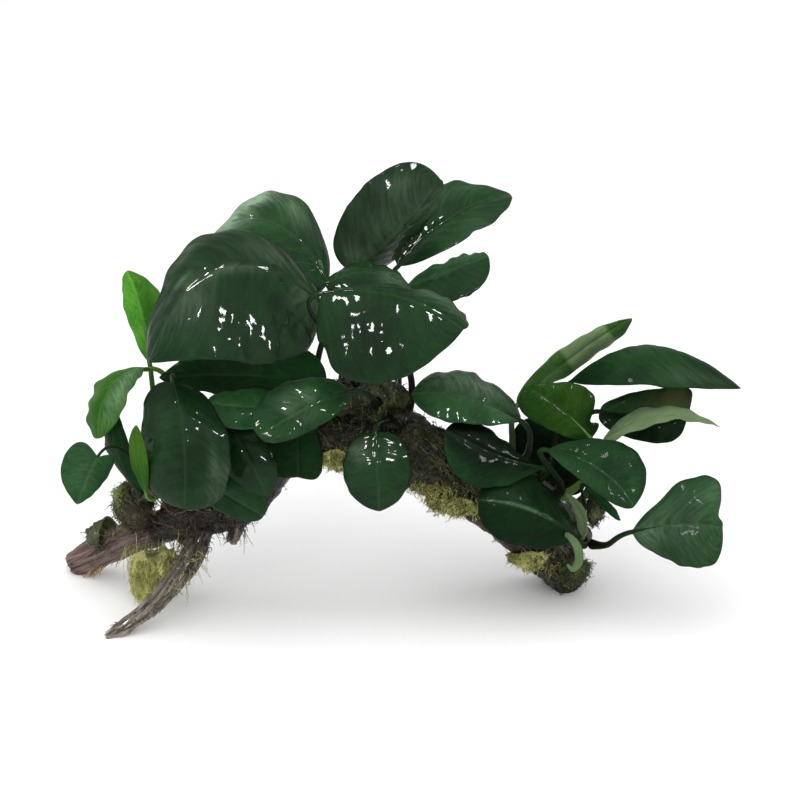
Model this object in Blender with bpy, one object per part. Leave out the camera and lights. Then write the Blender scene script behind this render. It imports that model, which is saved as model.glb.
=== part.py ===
"""Anubias rooted on a forked piece of driftwood, with clumps of moss.

Metres, Z up. The wood stands on Z = 0 on three tips, X runs along the longest extent and
the viewer's side is -Y. The origin is on the ground under the middle of the whole piece.

Places are written as they show from in front: millimetres across (to the right) and up from
the middle of the view, and millimetres back from the middle plane. seen() turns them into
places in space.
"""
import math

import bmesh
import bpy
import numpy as np
from mathutils import Matrix, Vector, noise

MM = 0.001
VIEW_ELEVATION = math.radians(25.0)     # the view looks down on the plant by this much
VIEW_DISTANCE = 1200.0                  # mm from the eye to the middle of the view
VIEW_CENTRE_HEIGHT = 81.8               # mm from the ground to the middle of the view
CENTRE_SHIFT = (-1.6, -19.4)            # mm from the middle of the view to the origin, X and Y

GAP = 0.3                               # mm between pieces that touch
LEAF_THICKNESS = 1.0                    # mm at the midrib
PETIOLE_RADIUS = 1.5                    # mm at the foot of a full-size leaf's stalk
SMALL_STALK = 0.6                       # a small leaf's stalk, as a share of a full-size one's
STALK_END = 0.94                        # how far along its curve a stalk goes before the blade takes over
STALK_ROOM_SIDES = 5                    # of the room that is cut out of moss round a stalk
STALK_ROOM_START = -0.06                # the room begins inside the rhizome
RHIZOME_RADIUS = 4.5
LIMB_SIDES = 10

TOWARDS_EYE = np.array([0.0, -math.cos(VIEW_ELEVATION), math.sin(VIEW_ELEVATION)])
SEEN_UP = np.array([0.0, math.sin(VIEW_ELEVATION), math.cos(VIEW_ELEVATION)])


def seen(across, up, back):
    """Place in millimetres of a point that shows at across, up and stands at back."""
    rise = up / VIEW_DISTANCE
    height = (up - back * (SEEN_UP[1] + rise * TOWARDS_EYE[1])) / (SEEN_UP[2] + rise * TOWARDS_EYE[2])
    nearness = back * TOWARDS_EYE[1] + height * TOWARDS_EYE[2]
    x = across * (1 - nearness / VIEW_DISTANCE)
    return np.array([x - CENTRE_SHIFT[0], back - CENTRE_SHIFT[1], height + VIEW_CENTRE_HEIGHT])


# Driftwood. Each limb is a line of (across, up, back, radius).
TRUNK = [
    (-101, -54, -34, 10.0), (-84, -47, -35, 12.0), (-70, -41, -35, 12.0), (-56, -24, -34, 11.0),
    (-44, -17, -34, 11.0), (-31, -15, -34, 11.0), (-15, -18, -34, 11.5), (0, -24, -34, 12.0),
    (18, -30, -33, 12.0), (34, -39, -31, 12.0), (46, -49, -29, 12.0), (59, -62, -25, 11.5),
    (69, -72, -19, 10.5), (74, -81, -15, 9.0),
]
REAR_LIMB = [
    (-94, -52, -34, 5.5), (-102, -55, -30, 7.6), (-116, -60, -21, 7.5), (-130, -66, -13, 6.5),
    (-143, -72, -5, 5.4),
]
FRONT_LIMB = [
    (-86, -52, -38, 6.0), (-91, -68, -48, 5.0), (-101, -82, -56, 4.2), (-112, -93, -60, 3.5),
    (-122, -100, -64, 2.7), (-129, -104.5, -66, 1.8),
]
STUB = [(-71, -47, -38, 5.0), (-72, -56, -42, 3.6), (-74, -63, -44, 2.2)]

# Rhizomes, the creeping stems that the leaves rise from: lines of (across, up, back).
RHIZOMES = {
    "rhizome_left": [(-117, -42, -40), (-101, -36, -38), (-86, -32, -36), (-73, -27, -36)],
    "rhizome_centre": [(-61, -12, -35), (-44, -3, -34), (-28, 0, -33), (-13, -3, -33), (2, -8, -33),
                       (12, -13, -33)],
    "rhizome_right": [(34, -25, -40), (48, -31, -39), (62, -39, -37), (74, -50, -34), (82, -63, -32)],
}

# Leaves. rib: foot, middle and tip of the midrib. wide: the widest points of the two margins.
# low and high: each half's fullness towards the foot and the tip. fan: how far the two halves turn
# with a bent midrib. stem: rhizome, and how far along it the stalk starts.
LEAVES = {
    "leaf_big_left": dict(
        rib=[(-36, 44, -29), (-79, 57, -50), (-111, 17, -66)], wide=[(-66, 15.5, -76), (-89, 71, -32)],
        low=(0.5, 0.85), high=(0.5, 0.33), fan=(0.5, 1.3), stem=("rhizome_centre", 0.30)),
    "leaf_big_right": dict(
        rib=[(-34.5, 47, -48), (-3, 46, -52), (28, 31, -58)], wide=[(-14, 7, -73), (12, 48, -40)],
        low=(0.6, 0.95), high=(0.6, 0.5), stem=("rhizome_centre", 0.50)),
    "leaf_upper_left": dict(
        rib=[(-32, 51, -10), (-56, 78, 2), (-83, 72, 6)], wide=[(-58, 60, -18), (-43, 87, 18)],
        low=(0.5, 1.15), high=(0.45, 1.1), stem=("rhizome_centre", 0.42)),
    "leaf_top_centre": dict(
        rib=[(-20, 55, -4), (0, 76, 0), (18, 97, 6)], wide=[(-17, 93, 6), (5, 70, 14)],
        low=(0.35, 0.4), high=(0.35, 0.6), stem=("rhizome_centre", 0.60)),
    "leaf_top_right": dict(
        rib=[(-1, 59, 14), (22, 80, 26), (48, 91, 34)], wide=[(37, 75.5, 12), (9, 90, 42)],
        low=(0.8, 0.8), high=(0.45, 1.0), stem=("rhizome_centre", 0.72)),
    "leaf_small_centre": dict(
        rib=[(-32, 52, -24), (-13, 56, -22), (5, 49, -18)], wide=[(-15, 48, -30), (-15, 61, -12)],
        low=(0.5, 0.7), high=(0.5, 0.7), stem=("rhizome_centre", 0.55), small=True),
    "leaf_right_of_centre": dict(
        rib=[(2, 48, -14), (22, 57, -6), (39, 63, 2)], wide=[(28, 45, -20), (21, 62, 4)],
        low=(0.6, 0.5), high=(0.5, 0.6), stem=("rhizome_centre", 0.80)),
    "leaf_left_bright": dict(
        rib=[(-110, 16, -30), (-114, 39, -27), (-120, 57, -22)], wide=[(-121, 40, -24), (-104, 42, -14)],
        low=(0.8, 0.75), high=(0.8, 0.75), stem=("rhizome_left", 0.35)),
    "leaf_left_light": dict(
        rib=[(-110, 14, -38), (-127, 7, -42), (-133, -17, -50)], wide=[(-134, 6, -28), (-119, 2, -54)],
        low=(0.5, 0.5), high=(1.0, 0.6), fan=(0.4, 0.0), stem=("rhizome_left", 0.25)),
    "leaf_dark_edge": dict(
        rib=[(-115, -41, -50), (-125, -22, -50), (-126, -4, -48)], wide=[(-130, -19, -42), (-119, -20, -49)],
        low=(0.6, 0.7), high=(0.6, 0.7), stem=("rhizome_left", 0.04)),
    "leaf_spear": dict(
        rib=[(-112, -41, -69), (-115, -26, -71), (-116, -11, -72)], wide=[(-119, -24, -70), (-111, -26, -72)],
        low=(0.75, 0.75), high=(0.75, 0.75), stem=("rhizome_left", 0.34), small=True),
    "leaf_heart": dict(
        rib=[(-133, -25, -66), (-138, -35, -71), (-142, -46, -76)], wide=[(-149, -27, -70), (-128, -33, -68)],
        low=(0.35, 0.8), high=(0.35, 0.8), lobes=0.7, stem=("rhizome_left", 0.2), small=True),
    "leaf_lower_left": dict(
        rib=[(-99, 7, -58), (-95, -20, -76), (-95, -48, -82)], wide=[(-114, -22, -64), (-74, -26, -72)],
        low=(0.5, 0.3), high=(0.5, 0.36), stem=("rhizome_left", 0.55)),
    "leaf_behind_lower_left": dict(
        rib=[(-78, -6, -46), (-68, -23, -62), (-59, -42, -66)], wide=[(-81, -26, -58), (-57, -21, -62)],
        low=(0.5, 0.7), high=(0.5, 0.6), stem=("rhizome_left", 0.80)),
    "leaf_low_dark": dict(
        rib=[(-88, -34, -54), (-74, -43, -57), (-60, -51, -60)], wide=[(-78, -50, -60), (-66, -35, -54)],
        low=(0.5, 0.5), high=(0.5, 0.5), stem=("rhizome_left", 0.65), small=True),
    "leaf_centre_glossy": dict(
        rib=[(-22, 4, -54), (-40, -3, -66), (-62, -16, -76)], wide=[(-38, -13, -72), (-54, 6, -62)],
        low=(0.6, 0.42), high=(0.6, 0.42), stem=("rhizome_centre", 0.62)),
    "leaf_bright_left": dict(
        rib=[(-46, -2, -49), (-66, -3, -53), (-85, -1, -56)], wide=[(-70, -13, -60), (-64, 5, -46)],
        low=(0.5, 0.55), high=(0.5, 0.55), stem=("rhizome_centre", 0.36)),
    "leaf_dark_behind": dict(
        rib=[(-33, 7, -38), (-68, 11, -40), (-106, 10, -44)], wide=[(-64, 1, -38), (-60, 28, -32)],
        low=(0.5, 0.7), high=(0.75, 0.7), stem=("rhizome_centre", 0.44)),
    "leaf_dark_low": dict(
        rib=[(-46, -4, -42), (-45, -18, -47), (-45, -34, -50)], wide=[(-59, -24, -48), (-34, -27, -48)],
        low=(0.5, 0.25), high=(0.5, 0.2), stem=("rhizome_centre", 0.2)),
    "leaf_centre_hanging": dict(
        rib=[(-11, -15, -60), (-10, -32, -70), (-9, -49, -74)], wide=[(-25, -32, -66), (5, -30, -66)],
        low=(0.6, 0.42), high=(0.6, 0.42), stem=("rhizome_centre", 0.70)),
    "leaf_right_of_arch": dict(
        rib=[(53, -9, -40), (29, 1, -46), (5, 3, -50)], wide=[(24, -10, -60), (25, 13, -30)],
        low=(0.9, 0.5), high=(0.65, 0.25), stem=("rhizome_right", 0.30)),
    "leaf_young_twisted": dict(
        rib=[(52, -2, -24), (77, 20, -14), (102, 36, -6)], wide=[(87, 20, -6), (67, 19.5, -20)],
        low=(1.0, 0.6), high=(0.45, 0.8), stem=("rhizome_right", 0.22)),
    "leaf_bright_centre": dict(
        rib=[(84, -17, -46), (70, -3, -46), (55, 6, -44)], wide=[(58, -9, -50), (84, 4, -40)],
        low=(0.7, 0.3), high=(0.5, 1.2), stem=("rhizome_right", 0.62)),
    "leaf_long_right": dict(
        rib=[(75, 8, -20), (110, 23.5, -22), (150, 5, -18)], wide=[(112, 6, -42), (109, 20, -4)],
        low=(1.0, 0.95), high=(0.5, 0.6), stem=("rhizome_right", 0.48)),
    "leaf_dark_square": dict(
        rib=[(88, -5, -24), (109, -6, -24), (127, -6, -22)], wide=[(114, -19, -32), (122, 6, -17)],
        low=(0.5, 0.18), high=(0.5, 0.15), stem=("rhizome_right", 0.66)),
    "leaf_pale_right": dict(
        rib=[(89, -19, -38), (113, -7, -44), (141, -12, -44)], wide=[(108, -12, -54), (105, -4, -34)],
        low=(0.5, 0.9), high=(0.45, 0.9), stem=("rhizome_right", 0.72)),
    "leaf_front_green": dict(
        rib=[(65, -22, -56), (87, -30, -60), (103, -47, -66)], wide=[(84, -39, -68), (104, -23, -50)],
        low=(0.85, 0.6), high=(0.85, 0.36), stem=("rhizome_right", 0.57)),
    "leaf_narrow_small": dict(
        rib=[(82, -38, -46), (90, -45, -48), (97, -53, -48)], wide=[(88, -47, -47), (91, -44, -51)],
        low=(0.5, 0.75), high=(0.5, 0.75), stem=("rhizome_right", 0.78), small=True),
    "leaf_dark_right": dict(
        rib=[(82, -36, -25), (67, -27, -23), (50, -14, -22)], wide=[(62, -38, -22), (72, -12, -22)],
        low=(0.5, 0.5), high=(0.5, 0.5), stem=("rhizome_right", 0.58), small=True),
    "leaf_right_low_dark": dict(
        rib=[(63, -30, -48), (43, -24, -56), (20, -13, -58)], wide=[(30, -37, -66), (36, -10.5, -48)],
        low=(1.2, 0.5), high=(1.7, 0.45), stem=("rhizome_right", 0.42)),
    "leaf_lower_front": dict(
        rib=[(77, -60, -50), (57, -48, -62), (35, -44, -62)], wide=[(48, -63, -66), (57, -33, -48)],
        low=(0.75, 0.6), high=(0.45, 0.6), stem=("rhizome_right", 0.92)),
    "leaf_strip": dict(
        rib=[(81, -60, -52), (80, -51, -56), (73, -41, -57)], wide=[(77, -52, -53), (82, -50, -58)],
        low=(0.5, 0.75), high=(0.5, 0.75), stem=("rhizome_right", 0.8), small=True),
    "leaf_far_right": dict(
        rib=[(102, -58, -60), (122, -55, -66), (142, -56, -68)], wide=[(131, -74, -74), (134, -33, -56)],
        low=(0.85, 0.36), high=(0.8, 1.0), stem=("rhizome_right", 1.0)),
}

# Moss clumps: middle (across, up, back) and half sizes in X, Y and Z, in millimetres. taper: how much
# narrower a clump is at its foot. lean: how far its foot stands to the side. round: the leaves whose
# stalks pass through it.
MOSS = {
    "moss_left_end": dict(middle=(-117, -46, -33), half=(11, 11, 12.5)),
    "moss_rear_limb": dict(middle=(-129, -60, -14), half=(10, 8, 5.5)),
    "moss_hanging": dict(middle=(-105, -76, -40), half=(16, 8, 16), taper=0.6, lean=-10),
    "moss_rhizome": dict(
        middle=(-15, 1, -33), half=(22, 9, 11),
        round=["leaf_big_left", "leaf_big_right", "leaf_upper_left", "leaf_top_centre", "leaf_top_right",
               "leaf_small_centre", "leaf_right_of_centre", "leaf_centre_glossy", "leaf_bright_left",
               "leaf_dark_behind", "leaf_dark_low", "leaf_centre_hanging"]),
    "moss_under_arch": dict(middle=(-27, -24, -42), half=(9, 7, 8)),
    "moss_centre": dict(middle=(11, -21, -43), half=(16, 10, 12)),
    "moss_right_of_centre": dict(middle=(24, -44, -38), half=(13, 8, 7)),
    "moss_leg": dict(middle=(56, -68, -34), half=(10, 7, 7)),
    "moss_foot": dict(middle=(76, -74, -28), half=(9, 9, 7)),
    "moss_right": dict(middle=(86, -47, -30), half=(6, 7, 11)),
}


def unit(vector):
    return vector / np.linalg.norm(vector, axis=-1, keepdims=True)


def smooth_line(points, count):
    """count places along a smooth curve through the given ones, all columns alike."""
    points = np.array(points, float)
    spots = np.linspace(0, len(points) - 1, count)
    result = []
    for spot in spots:
        i = min(int(spot), len(points) - 2)
        t = spot - i
        before = points[max(i - 1, 0)]
        start, end = points[i], points[i + 1]
        after = points[min(i + 2, len(points) - 1)]
        result.append(0.5 * (2 * start + (end - before) * t
                             + (2 * before - 5 * start + 4 * end - after) * t ** 2
                             + (3 * start - before - 3 * end + after) * t ** 3))
    return np.array(result)


def new_object(name, mesh, collection):
    obj = bpy.data.objects.new(name, mesh)
    collection.objects.link(obj)
    return obj


def loft(name, rings, collection, point=None):
    """Closed solid through rings of places in millimetres, all with the same number of points."""
    mesh = bpy.data.meshes.new(name)
    form = bmesh.new()
    rows = [[form.verts.new(Vector(place) * MM) for place in ring] for ring in rings]
    for row, following in zip(rows, rows[1:]):
        for i in range(len(row)):
            j = (i + 1) % len(row)
            form.faces.new((row[i], row[j], following[j], following[i]))
    form.faces.new(rows[0][::-1])
    if point is None:
        form.faces.new(rows[-1])
    else:
        end = form.verts.new(Vector(point) * MM)
        for i in range(len(rows[-1])):
            form.faces.new((rows[-1][i], rows[-1][(i + 1) % len(rows[-1])], end))
    bmesh.ops.recalc_face_normals(form, faces=form.faces)
    for face in form.faces:
        face.smooth = len(face.verts) < 5
    form.to_mesh(mesh)
    form.free()
    return new_object(name, mesh, collection)


def frames_along(line):
    """Unit vectors side and over for each place of a line, turning as little as they can."""
    tangents = unit(np.gradient(line, axis=0))
    side = unit(np.cross(tangents[0], TOWARDS_EYE))
    sides = []
    for tangent in tangents:
        side = unit(side - (side @ tangent) * tangent)
        sides.append(side)
    sides = np.array(sides)
    return sides, np.cross(tangents, sides), tangents


def limb(name, points, collection, rings, grow=0.0, waviness=0.1):
    """A gnarled limb of wood: lobed rings along a smooth line."""
    places = [list(seen(*p[:3])) + [p[3]] for p in points]
    line = smooth_line(places, rings)
    sides, overs, tangents = frames_along(line[:, :3])
    loops = []
    for i, (x, y, z, radius) in enumerate(line):
        loop = []
        for k in range(LIMB_SIDES):
            angle = 2 * math.pi * k / LIMB_SIDES
            wave = 1 + waviness * (math.sin(3 * angle + 0.35 * i) + 0.7 * math.sin(2 * angle - 0.5 * i))
            reach = radius * wave + grow
            out = math.cos(angle) * sides[i] + math.sin(angle) * overs[i]
            loop.append(np.array([x, y, z]) + reach * out)
        loops.append(loop)
    if grow:
        loops[0] = [place - tangents[0] * grow for place in loops[0]]
        loops[-1] = [place + tangents[-1] * grow for place in loops[-1]]
    return loft(name, loops, collection)


def boolean(obj, operation, other):
    change = obj.modifiers.new(operation.lower(), "BOOLEAN")
    change.operation = operation
    change.solver = "EXACT"
    change.object = other


def rhizome(name, collection, grow=0.0):
    places = [seen(*p) for p in RHIZOMES[name]]
    line = smooth_line(places, 2 * len(places) + 3)
    sides, overs, tangents = frames_along(line)
    loops = []
    for i, place in enumerate(line):
        knuckle = 1 + 0.1 * math.sin(2.3 * i)
        taper = min(1.0, 0.7 + 0.3 * min(i, len(line) - 1 - i))
        reach = RHIZOME_RADIUS * knuckle * taper + grow
        loops.append([place + reach * (math.cos(a) * sides[i] + math.sin(a) * overs[i])
                      for a in np.linspace(0, 2 * math.pi, 8, endpoint=False)])
    if grow:
        loops[0] = [place - tangents[0] * grow for place in loops[0]]
        loops[-1] = [place + tangents[-1] * grow for place in loops[-1]]
    return loft(name, loops, collection)


def fullness(t, foot, tip):
    """Share of the widest half width at t along a blade: 0 at both ends, 1 at the widest."""
    widest = foot / (foot + tip)
    return t ** foot * (1 - t) ** tip / (widest ** foot * (1 - widest) ** tip)


class Blade:
    """The middle surface of a leaf blade, from its five picked places."""

    def __init__(self, rib, wide, low, high, lobes=0.25, crown=0.12, fan=(0.0, 0.0), **_):
        self.foot, middle, self.tip = (seen(*p) for p in rib)
        self.bend = 2 * middle - (self.foot + self.tip) / 2
        self.fullness = (low, high)
        self.lobes = lobes
        self.crown = crown
        self.fan = fan
        self.widest = [foot / (foot + tip) for foot, tip in (low, high)]
        self.low, self.high = (seen(*p) - self.rib(t) for p, t in zip(wide, self.widest))
        self.normal = unit(np.cross(self.tip - self.foot, self.high - self.low))
        if self.normal @ TOWARDS_EYE < 0:
            self.normal = -self.normal

    def rib(self, t):
        return self.foot * (1 - t) ** 2 + self.bend * 2 * t * (1 - t) + self.tip * t ** 2

    def along(self, t):
        return unit((self.bend - self.foot) * (1 - t) + (self.tip - self.bend) * t)

    def side(self, upper, t):
        """From the midrib to the widest margin, turned with the midrib where the blade fans out."""
        side = self.high if upper else self.low
        along, there = self.along(t), self.along(self.widest[upper])
        turned = side - self.fan[upper] * (side @ along - side @ there) * along
        return turned * np.linalg.norm(side) / np.linalg.norm(turned)

    def place(self, s, t):
        """s runs from -1 on one margin over 0 on the midrib to 1 on the other."""
        upper = int(s > 0)
        side = self.side(upper, t)
        reach = fullness(t, *self.fullness[upper]) * abs(s)
        size = np.linalg.norm(side)
        crown = self.crown * size * reach * (1 - abs(s)) * 2
        swept = self.lobes * size * reach * abs(s) ** 0.5 * (1 - t) ** 3
        return self.rib(t) + side * reach + self.normal * crown - self.along(t) * swept

    def above(self, s, t):
        """Unit vector out of the blade's upper face, at s, t."""
        step = 0.02
        low_t, high_t = max(t - step, 0.01), min(t + step, 0.99)
        low_s, high_s = max(s - step, -1), min(s + step, 1)
        lengthways = self.place(s, high_t) - self.place(s, low_t)
        crossways = self.place(high_s, t) - self.place(low_s, t)
        out = np.cross(lengthways, crossways)
        return unit(out) if out @ self.normal > 0 else -unit(out)


def leaf(name, values, collection):
    """Stalk and blade as one loft: round rings that flatten into the blade's."""
    blade = Blade(**values)
    small = values.get("small", False)
    across = (-1, 0, 1) if small else (-1, -0.55, 0, 0.55, 1)
    stations = (0.06, 0.2, 0.45, 0.7, 0.9) if small else (0.04, 0.13, 0.28, 0.45, 0.62, 0.78, 0.9, 0.97)
    handles = stalk_handles(blade, values["stem"])
    steps = stalk_steps(small)
    radius = PETIOLE_RADIUS * (SMALL_STALK if small else 1.0)
    over = blade.above(0, 0.05)
    flip = 1 if np.cross(blade.along(0.05), over) @ (blade.high - blade.low) > 0 else -1
    loops = []
    for t in steps[::-1]:
        middle = bezier(handles, t)
        tangent = unit(bezier(handles, t + 0.01) - bezier(handles, t - 0.01))
        over = unit(over - (over @ tangent) * tangent)
        side = np.cross(tangent, over) * flip
        reach = radius * (1 - 0.3 * t)
        loops.insert(0, flat_ring([middle + side * reach * s for s in across],
                                  [over * reach * math.sqrt(max(1 - s * s, 0)) for s in across]))
    for t in stations:
        thin = LEAF_THICKNESS / 2 * (1 - 0.3 * t)
        middles = [blade.place(s, t) for s in across]
        heights = [blade.above(s, t) * thin * (1 - 0.4 * abs(s)) for s in across]
        loops.append(flat_ring(middles, heights))
    return loft(name, loops, collection, point=blade.tip)


def flat_ring(middles, heights):
    """Ring over the upper face and back under the lower one, sharp at both margins."""
    over = [m + h for m, h in zip(middles[1:-1], heights[1:-1])]
    under = [m - h for m, h in zip(middles[1:-1], heights[1:-1])]
    return [middles[0]] + over + [middles[-1]] + under[::-1]


def bezier(handles, t):
    a, b, c, d = handles
    return a * (1 - t) ** 3 + b * 3 * t * (1 - t) ** 2 + c * 3 * t ** 2 * (1 - t) + d * t ** 3


def stalk_start(stem, towards):
    """Place on a rhizome's skin on the side of the leaf, and the direction out of it."""
    name, share = stem
    line = smooth_line([seen(*p) for p in RHIZOMES[name]], 41)
    i = round(share * 40)
    tangent = unit(line[min(i + 1, 40)] - line[max(i - 1, 0)])
    reach = towards - line[i]
    outward = unit(reach - (reach @ tangent) * tangent)
    return line[i] + outward * (RHIZOME_RADIUS * 1.1 + GAP), outward


def stalk_handles(blade, stem):
    """Handles of the curve that a leaf's stalk follows, from the rhizome to the blade."""
    start, outward = stalk_start(stem, blade.foot)
    length = np.linalg.norm(blade.foot - start)
    return start, start + outward * 0.4 * length, blade.foot - blade.along(0.0) * 0.35 * length, blade.foot


def stalk_steps(small):
    """How far along its curve each ring of a stalk stands."""
    return np.linspace(0, STALK_END, 4 if small else 5)


def stalk_space(name, values, collection):
    """Room for a leaf's stalk with the gap round it, to cut out of the moss that it passes."""
    small = values.get("small", False)
    handles = stalk_handles(Blade(**values), values["stem"])
    line = np.array([bezier(handles, t) for t in (STALK_ROOM_START, *stalk_steps(small), 1.0)])
    sides, overs, _ = frames_along(line)
    reach = PETIOLE_RADIUS * (SMALL_STALK if small else 1.0) + 2 * GAP
    angles = np.linspace(0, 2 * math.pi, STALK_ROOM_SIDES, endpoint=False)
    loops = [[place + reach * (math.cos(angle) * side + math.sin(angle) * over) for angle in angles]
             for place, side, over in zip(line, sides, overs)]
    return loft(name, loops, collection)


def moss(name, values, collection):
    """A soft lump that swells and dips."""
    mesh = bpy.data.meshes.new(name)
    form = bmesh.new()
    bmesh.ops.create_icosphere(form, subdivisions=2, radius=1.0)
    middle = Vector(seen(*values["middle"]))
    for vert in form.verts:
        swell = 1 + 0.18 * noise.noise(vert.co * 1.6 + middle)
        down = (1 - vert.co.z) / 2
        narrow = 1 - values.get("taper", 0) * down
        reach = np.array(values["half"]) * (narrow, narrow, 1)
        lean = Vector((values.get("lean", 0) * down, 0, 0))
        vert.co = (middle + Vector(np.array(vert.co) * reach) * swell + lean) * MM
    for face in form.faces:
        face.smooth = True
    form.to_mesh(mesh)
    form.free()
    return new_object(name, mesh, collection)


def material(name, color, roughness):
    finish = bpy.data.materials.new(name)
    finish.use_nodes = True
    shader = finish.node_tree.nodes["Principled BSDF"]
    shader.inputs["Base Color"].default_value = (*color, 1)
    shader.inputs["Roughness"].default_value = roughness
    finish.diffuse_color = (*color, 1)
    return finish


def collection(name):
    group = bpy.data.collections.new(name)
    bpy.context.scene.collection.children.link(group)
    return group


def as_cutter(obj):
    obj.hide_render = True
    obj.display_type = "WIRE"
    return obj


def below_ground(cutters):
    """Block that trims the limbs' tips flat on the ground."""
    mesh = bpy.data.meshes.new("ground_cut")
    form = bmesh.new()
    bmesh.ops.create_cube(form, size=1.0, matrix=Matrix.Diagonal((0.5, 0.4, 0.04, 1)))
    form.to_mesh(mesh)
    form.free()
    obj = as_cutter(new_object("ground_cut", mesh, cutters))
    obj.location = (0, 0, -0.02)
    return obj


def build():
    for obj in list(bpy.data.objects):
        bpy.data.objects.remove(obj, do_unlink=True)
    plant = collection("anubias_on_driftwood")
    cutters = collection("cutters")
    ground = below_ground(cutters)

    wood = material("driftwood", (0.085, 0.05, 0.028), 0.6)
    trunk = limb("driftwood_trunk", TRUNK, plant, 34)
    boolean(trunk, "UNION", as_cutter(limb("stub", STUB, cutters, 5)))
    trunk_space = as_cutter(limb("trunk_space", TRUNK, cutters, 34, grow=GAP))
    rear = limb("driftwood_rear_limb", REAR_LIMB, plant, 11)
    front = limb("driftwood_front_limb", FRONT_LIMB, plant, 13)
    spaces = [trunk_space,
              as_cutter(limb("rear_space", REAR_LIMB, cutters, 11, grow=GAP)),
              as_cutter(limb("front_space", FRONT_LIMB, cutters, 13, grow=GAP))]
    for obj in (rear, front):
        boolean(obj, "DIFFERENCE", trunk_space)
    boolean(front, "DIFFERENCE", spaces[1])
    for obj in (trunk, rear, front):
        boolean(obj, "DIFFERENCE", ground)
        obj.data.materials.append(wood)

    stem = material("rhizome", (0.10, 0.12, 0.05), 0.55)
    for name in RHIZOMES:
        obj = rhizome(name, plant)
        boolean(obj, "DIFFERENCE", trunk_space)
        obj.data.materials.append(stem)
        spaces.append(as_cutter(rhizome(name, cutters, grow=GAP)))
        spaces[-1].name = name + "_space"

    green = material("leaf", (0.03, 0.11, 0.025), 0.3)
    for name, values in LEAVES.items():
        leaf(name, values, plant).data.materials.append(green)

    soft = material("moss", (0.10, 0.16, 0.03), 0.9)
    for name, values in MOSS.items():
        obj = moss(name, values, plant)
        stalks = [as_cutter(stalk_space(leaf_name + "_space_" + name, LEAVES[leaf_name], cutters))
                  for leaf_name in values.get("round", ())]
        for space in spaces + stalks:
            boolean(obj, "DIFFERENCE", space)
        obj.data.materials.append(soft)


build()
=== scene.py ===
"""Looks of an anubias rooted on forked driftwood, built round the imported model.

Places are in the terms of part.py: millimetres across and up in the front view, and back from
the middle plane. seen() turns them into places in space. Meshes are worked out in millimetres
and made in metres. The plant has just been lifted out of the water, so everything is wet.
"""
import math

import bpy
import numpy as np
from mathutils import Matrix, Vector, noise
from mathutils.bvhtree import BVHTree


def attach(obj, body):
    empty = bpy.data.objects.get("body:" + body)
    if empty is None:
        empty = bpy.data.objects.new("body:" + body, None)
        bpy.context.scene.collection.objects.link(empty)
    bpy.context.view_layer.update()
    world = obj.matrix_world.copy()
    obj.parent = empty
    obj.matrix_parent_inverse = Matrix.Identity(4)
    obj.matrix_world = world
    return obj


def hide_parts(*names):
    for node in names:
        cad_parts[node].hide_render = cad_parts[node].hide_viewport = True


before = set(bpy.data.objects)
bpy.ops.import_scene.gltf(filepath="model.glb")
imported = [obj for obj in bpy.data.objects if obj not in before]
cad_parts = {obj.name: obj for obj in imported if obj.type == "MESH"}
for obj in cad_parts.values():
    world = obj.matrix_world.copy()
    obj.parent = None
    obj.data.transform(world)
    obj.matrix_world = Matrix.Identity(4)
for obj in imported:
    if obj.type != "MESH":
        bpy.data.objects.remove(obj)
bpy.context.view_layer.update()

MM = 0.001
VIEW_ELEVATION = math.radians(25.0)     # the view looks down on the plant by this much
VIEW_DISTANCE = 1200.0                  # mm from the eye to the middle of the view
VIEW_WIDTH = 352.0                      # mm across the picture, at the middle of the view
VIEW_CENTRE_HEIGHT = 81.8               # mm from the ground to the middle of the view
CENTRE_SHIFT = (-1.6, -19.4)            # mm from the middle of the view to the origin, X and Y
SENSOR = 36.0                           # mm
TOWARDS_EYE = np.array([0.0, -math.cos(VIEW_ELEVATION), math.sin(VIEW_ELEVATION)])
SEEN_UP = np.array([0.0, math.sin(VIEW_ELEVATION), math.cos(VIEW_ELEVATION)])
DOWN = np.array([0.0, 0.0, -1.0])
NOISE_STRIDE = 17.3                     # between the stretches of noise that two seeds give

# Driftwood, as in part.py: each limb is a line of (across, up, back, radius).
TRUNK = [
    (-101, -54, -34, 10.0), (-84, -47, -35, 12.0), (-70, -41, -35, 12.0), (-56, -24, -34, 11.0),
    (-44, -17, -34, 11.0), (-31, -15, -34, 11.0), (-15, -18, -34, 11.5), (0, -24, -34, 12.0),
    (18, -30, -33, 12.0), (34, -39, -31, 12.0), (46, -49, -29, 12.0), (59, -62, -25, 11.5),
    (69, -72, -19, 10.5), (74, -81, -15, 9.0),
]
REAR_LIMB = [
    (-94, -52, -34, 5.5), (-102, -55, -30, 7.6), (-116, -60, -21, 7.5), (-130, -66, -13, 6.5),
    (-143, -72, -5, 5.4),
]
FRONT_LIMB = [
    (-86, -52, -38, 6.0), (-91, -68, -48, 5.0), (-101, -82, -56, 4.2), (-112, -93, -60, 3.5),
    (-122, -100, -64, 2.7), (-129, -104.5, -66, 1.8),
]
STUB = [(-71, -47, -38, 5.0), (-72, -56, -42, 3.6), (-74, -63, -44, 2.2)]

# Each limb's line, the number of rings that shape it, and how red and how grey it is at its foot and
# at its tip; what is neither is dark bark.
LIMBS = {
    "trunk": (TRUNK, 34, ((0.0, 0.0), (0.0, 0.0))),
    "rear": (REAR_LIMB, 11, ((0.6, 0.0), (1.0, 0.0))),
    "front": (FRONT_LIMB, 13, ((0.0, 0.15), (0.0, 1.2))),
    "stub": (STUB, 5, ((0.0, 0.3), (0.0, 0.7))),
}
WOOD_STEP = 0.7                         # mm between the points of the wood's mesh
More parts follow.
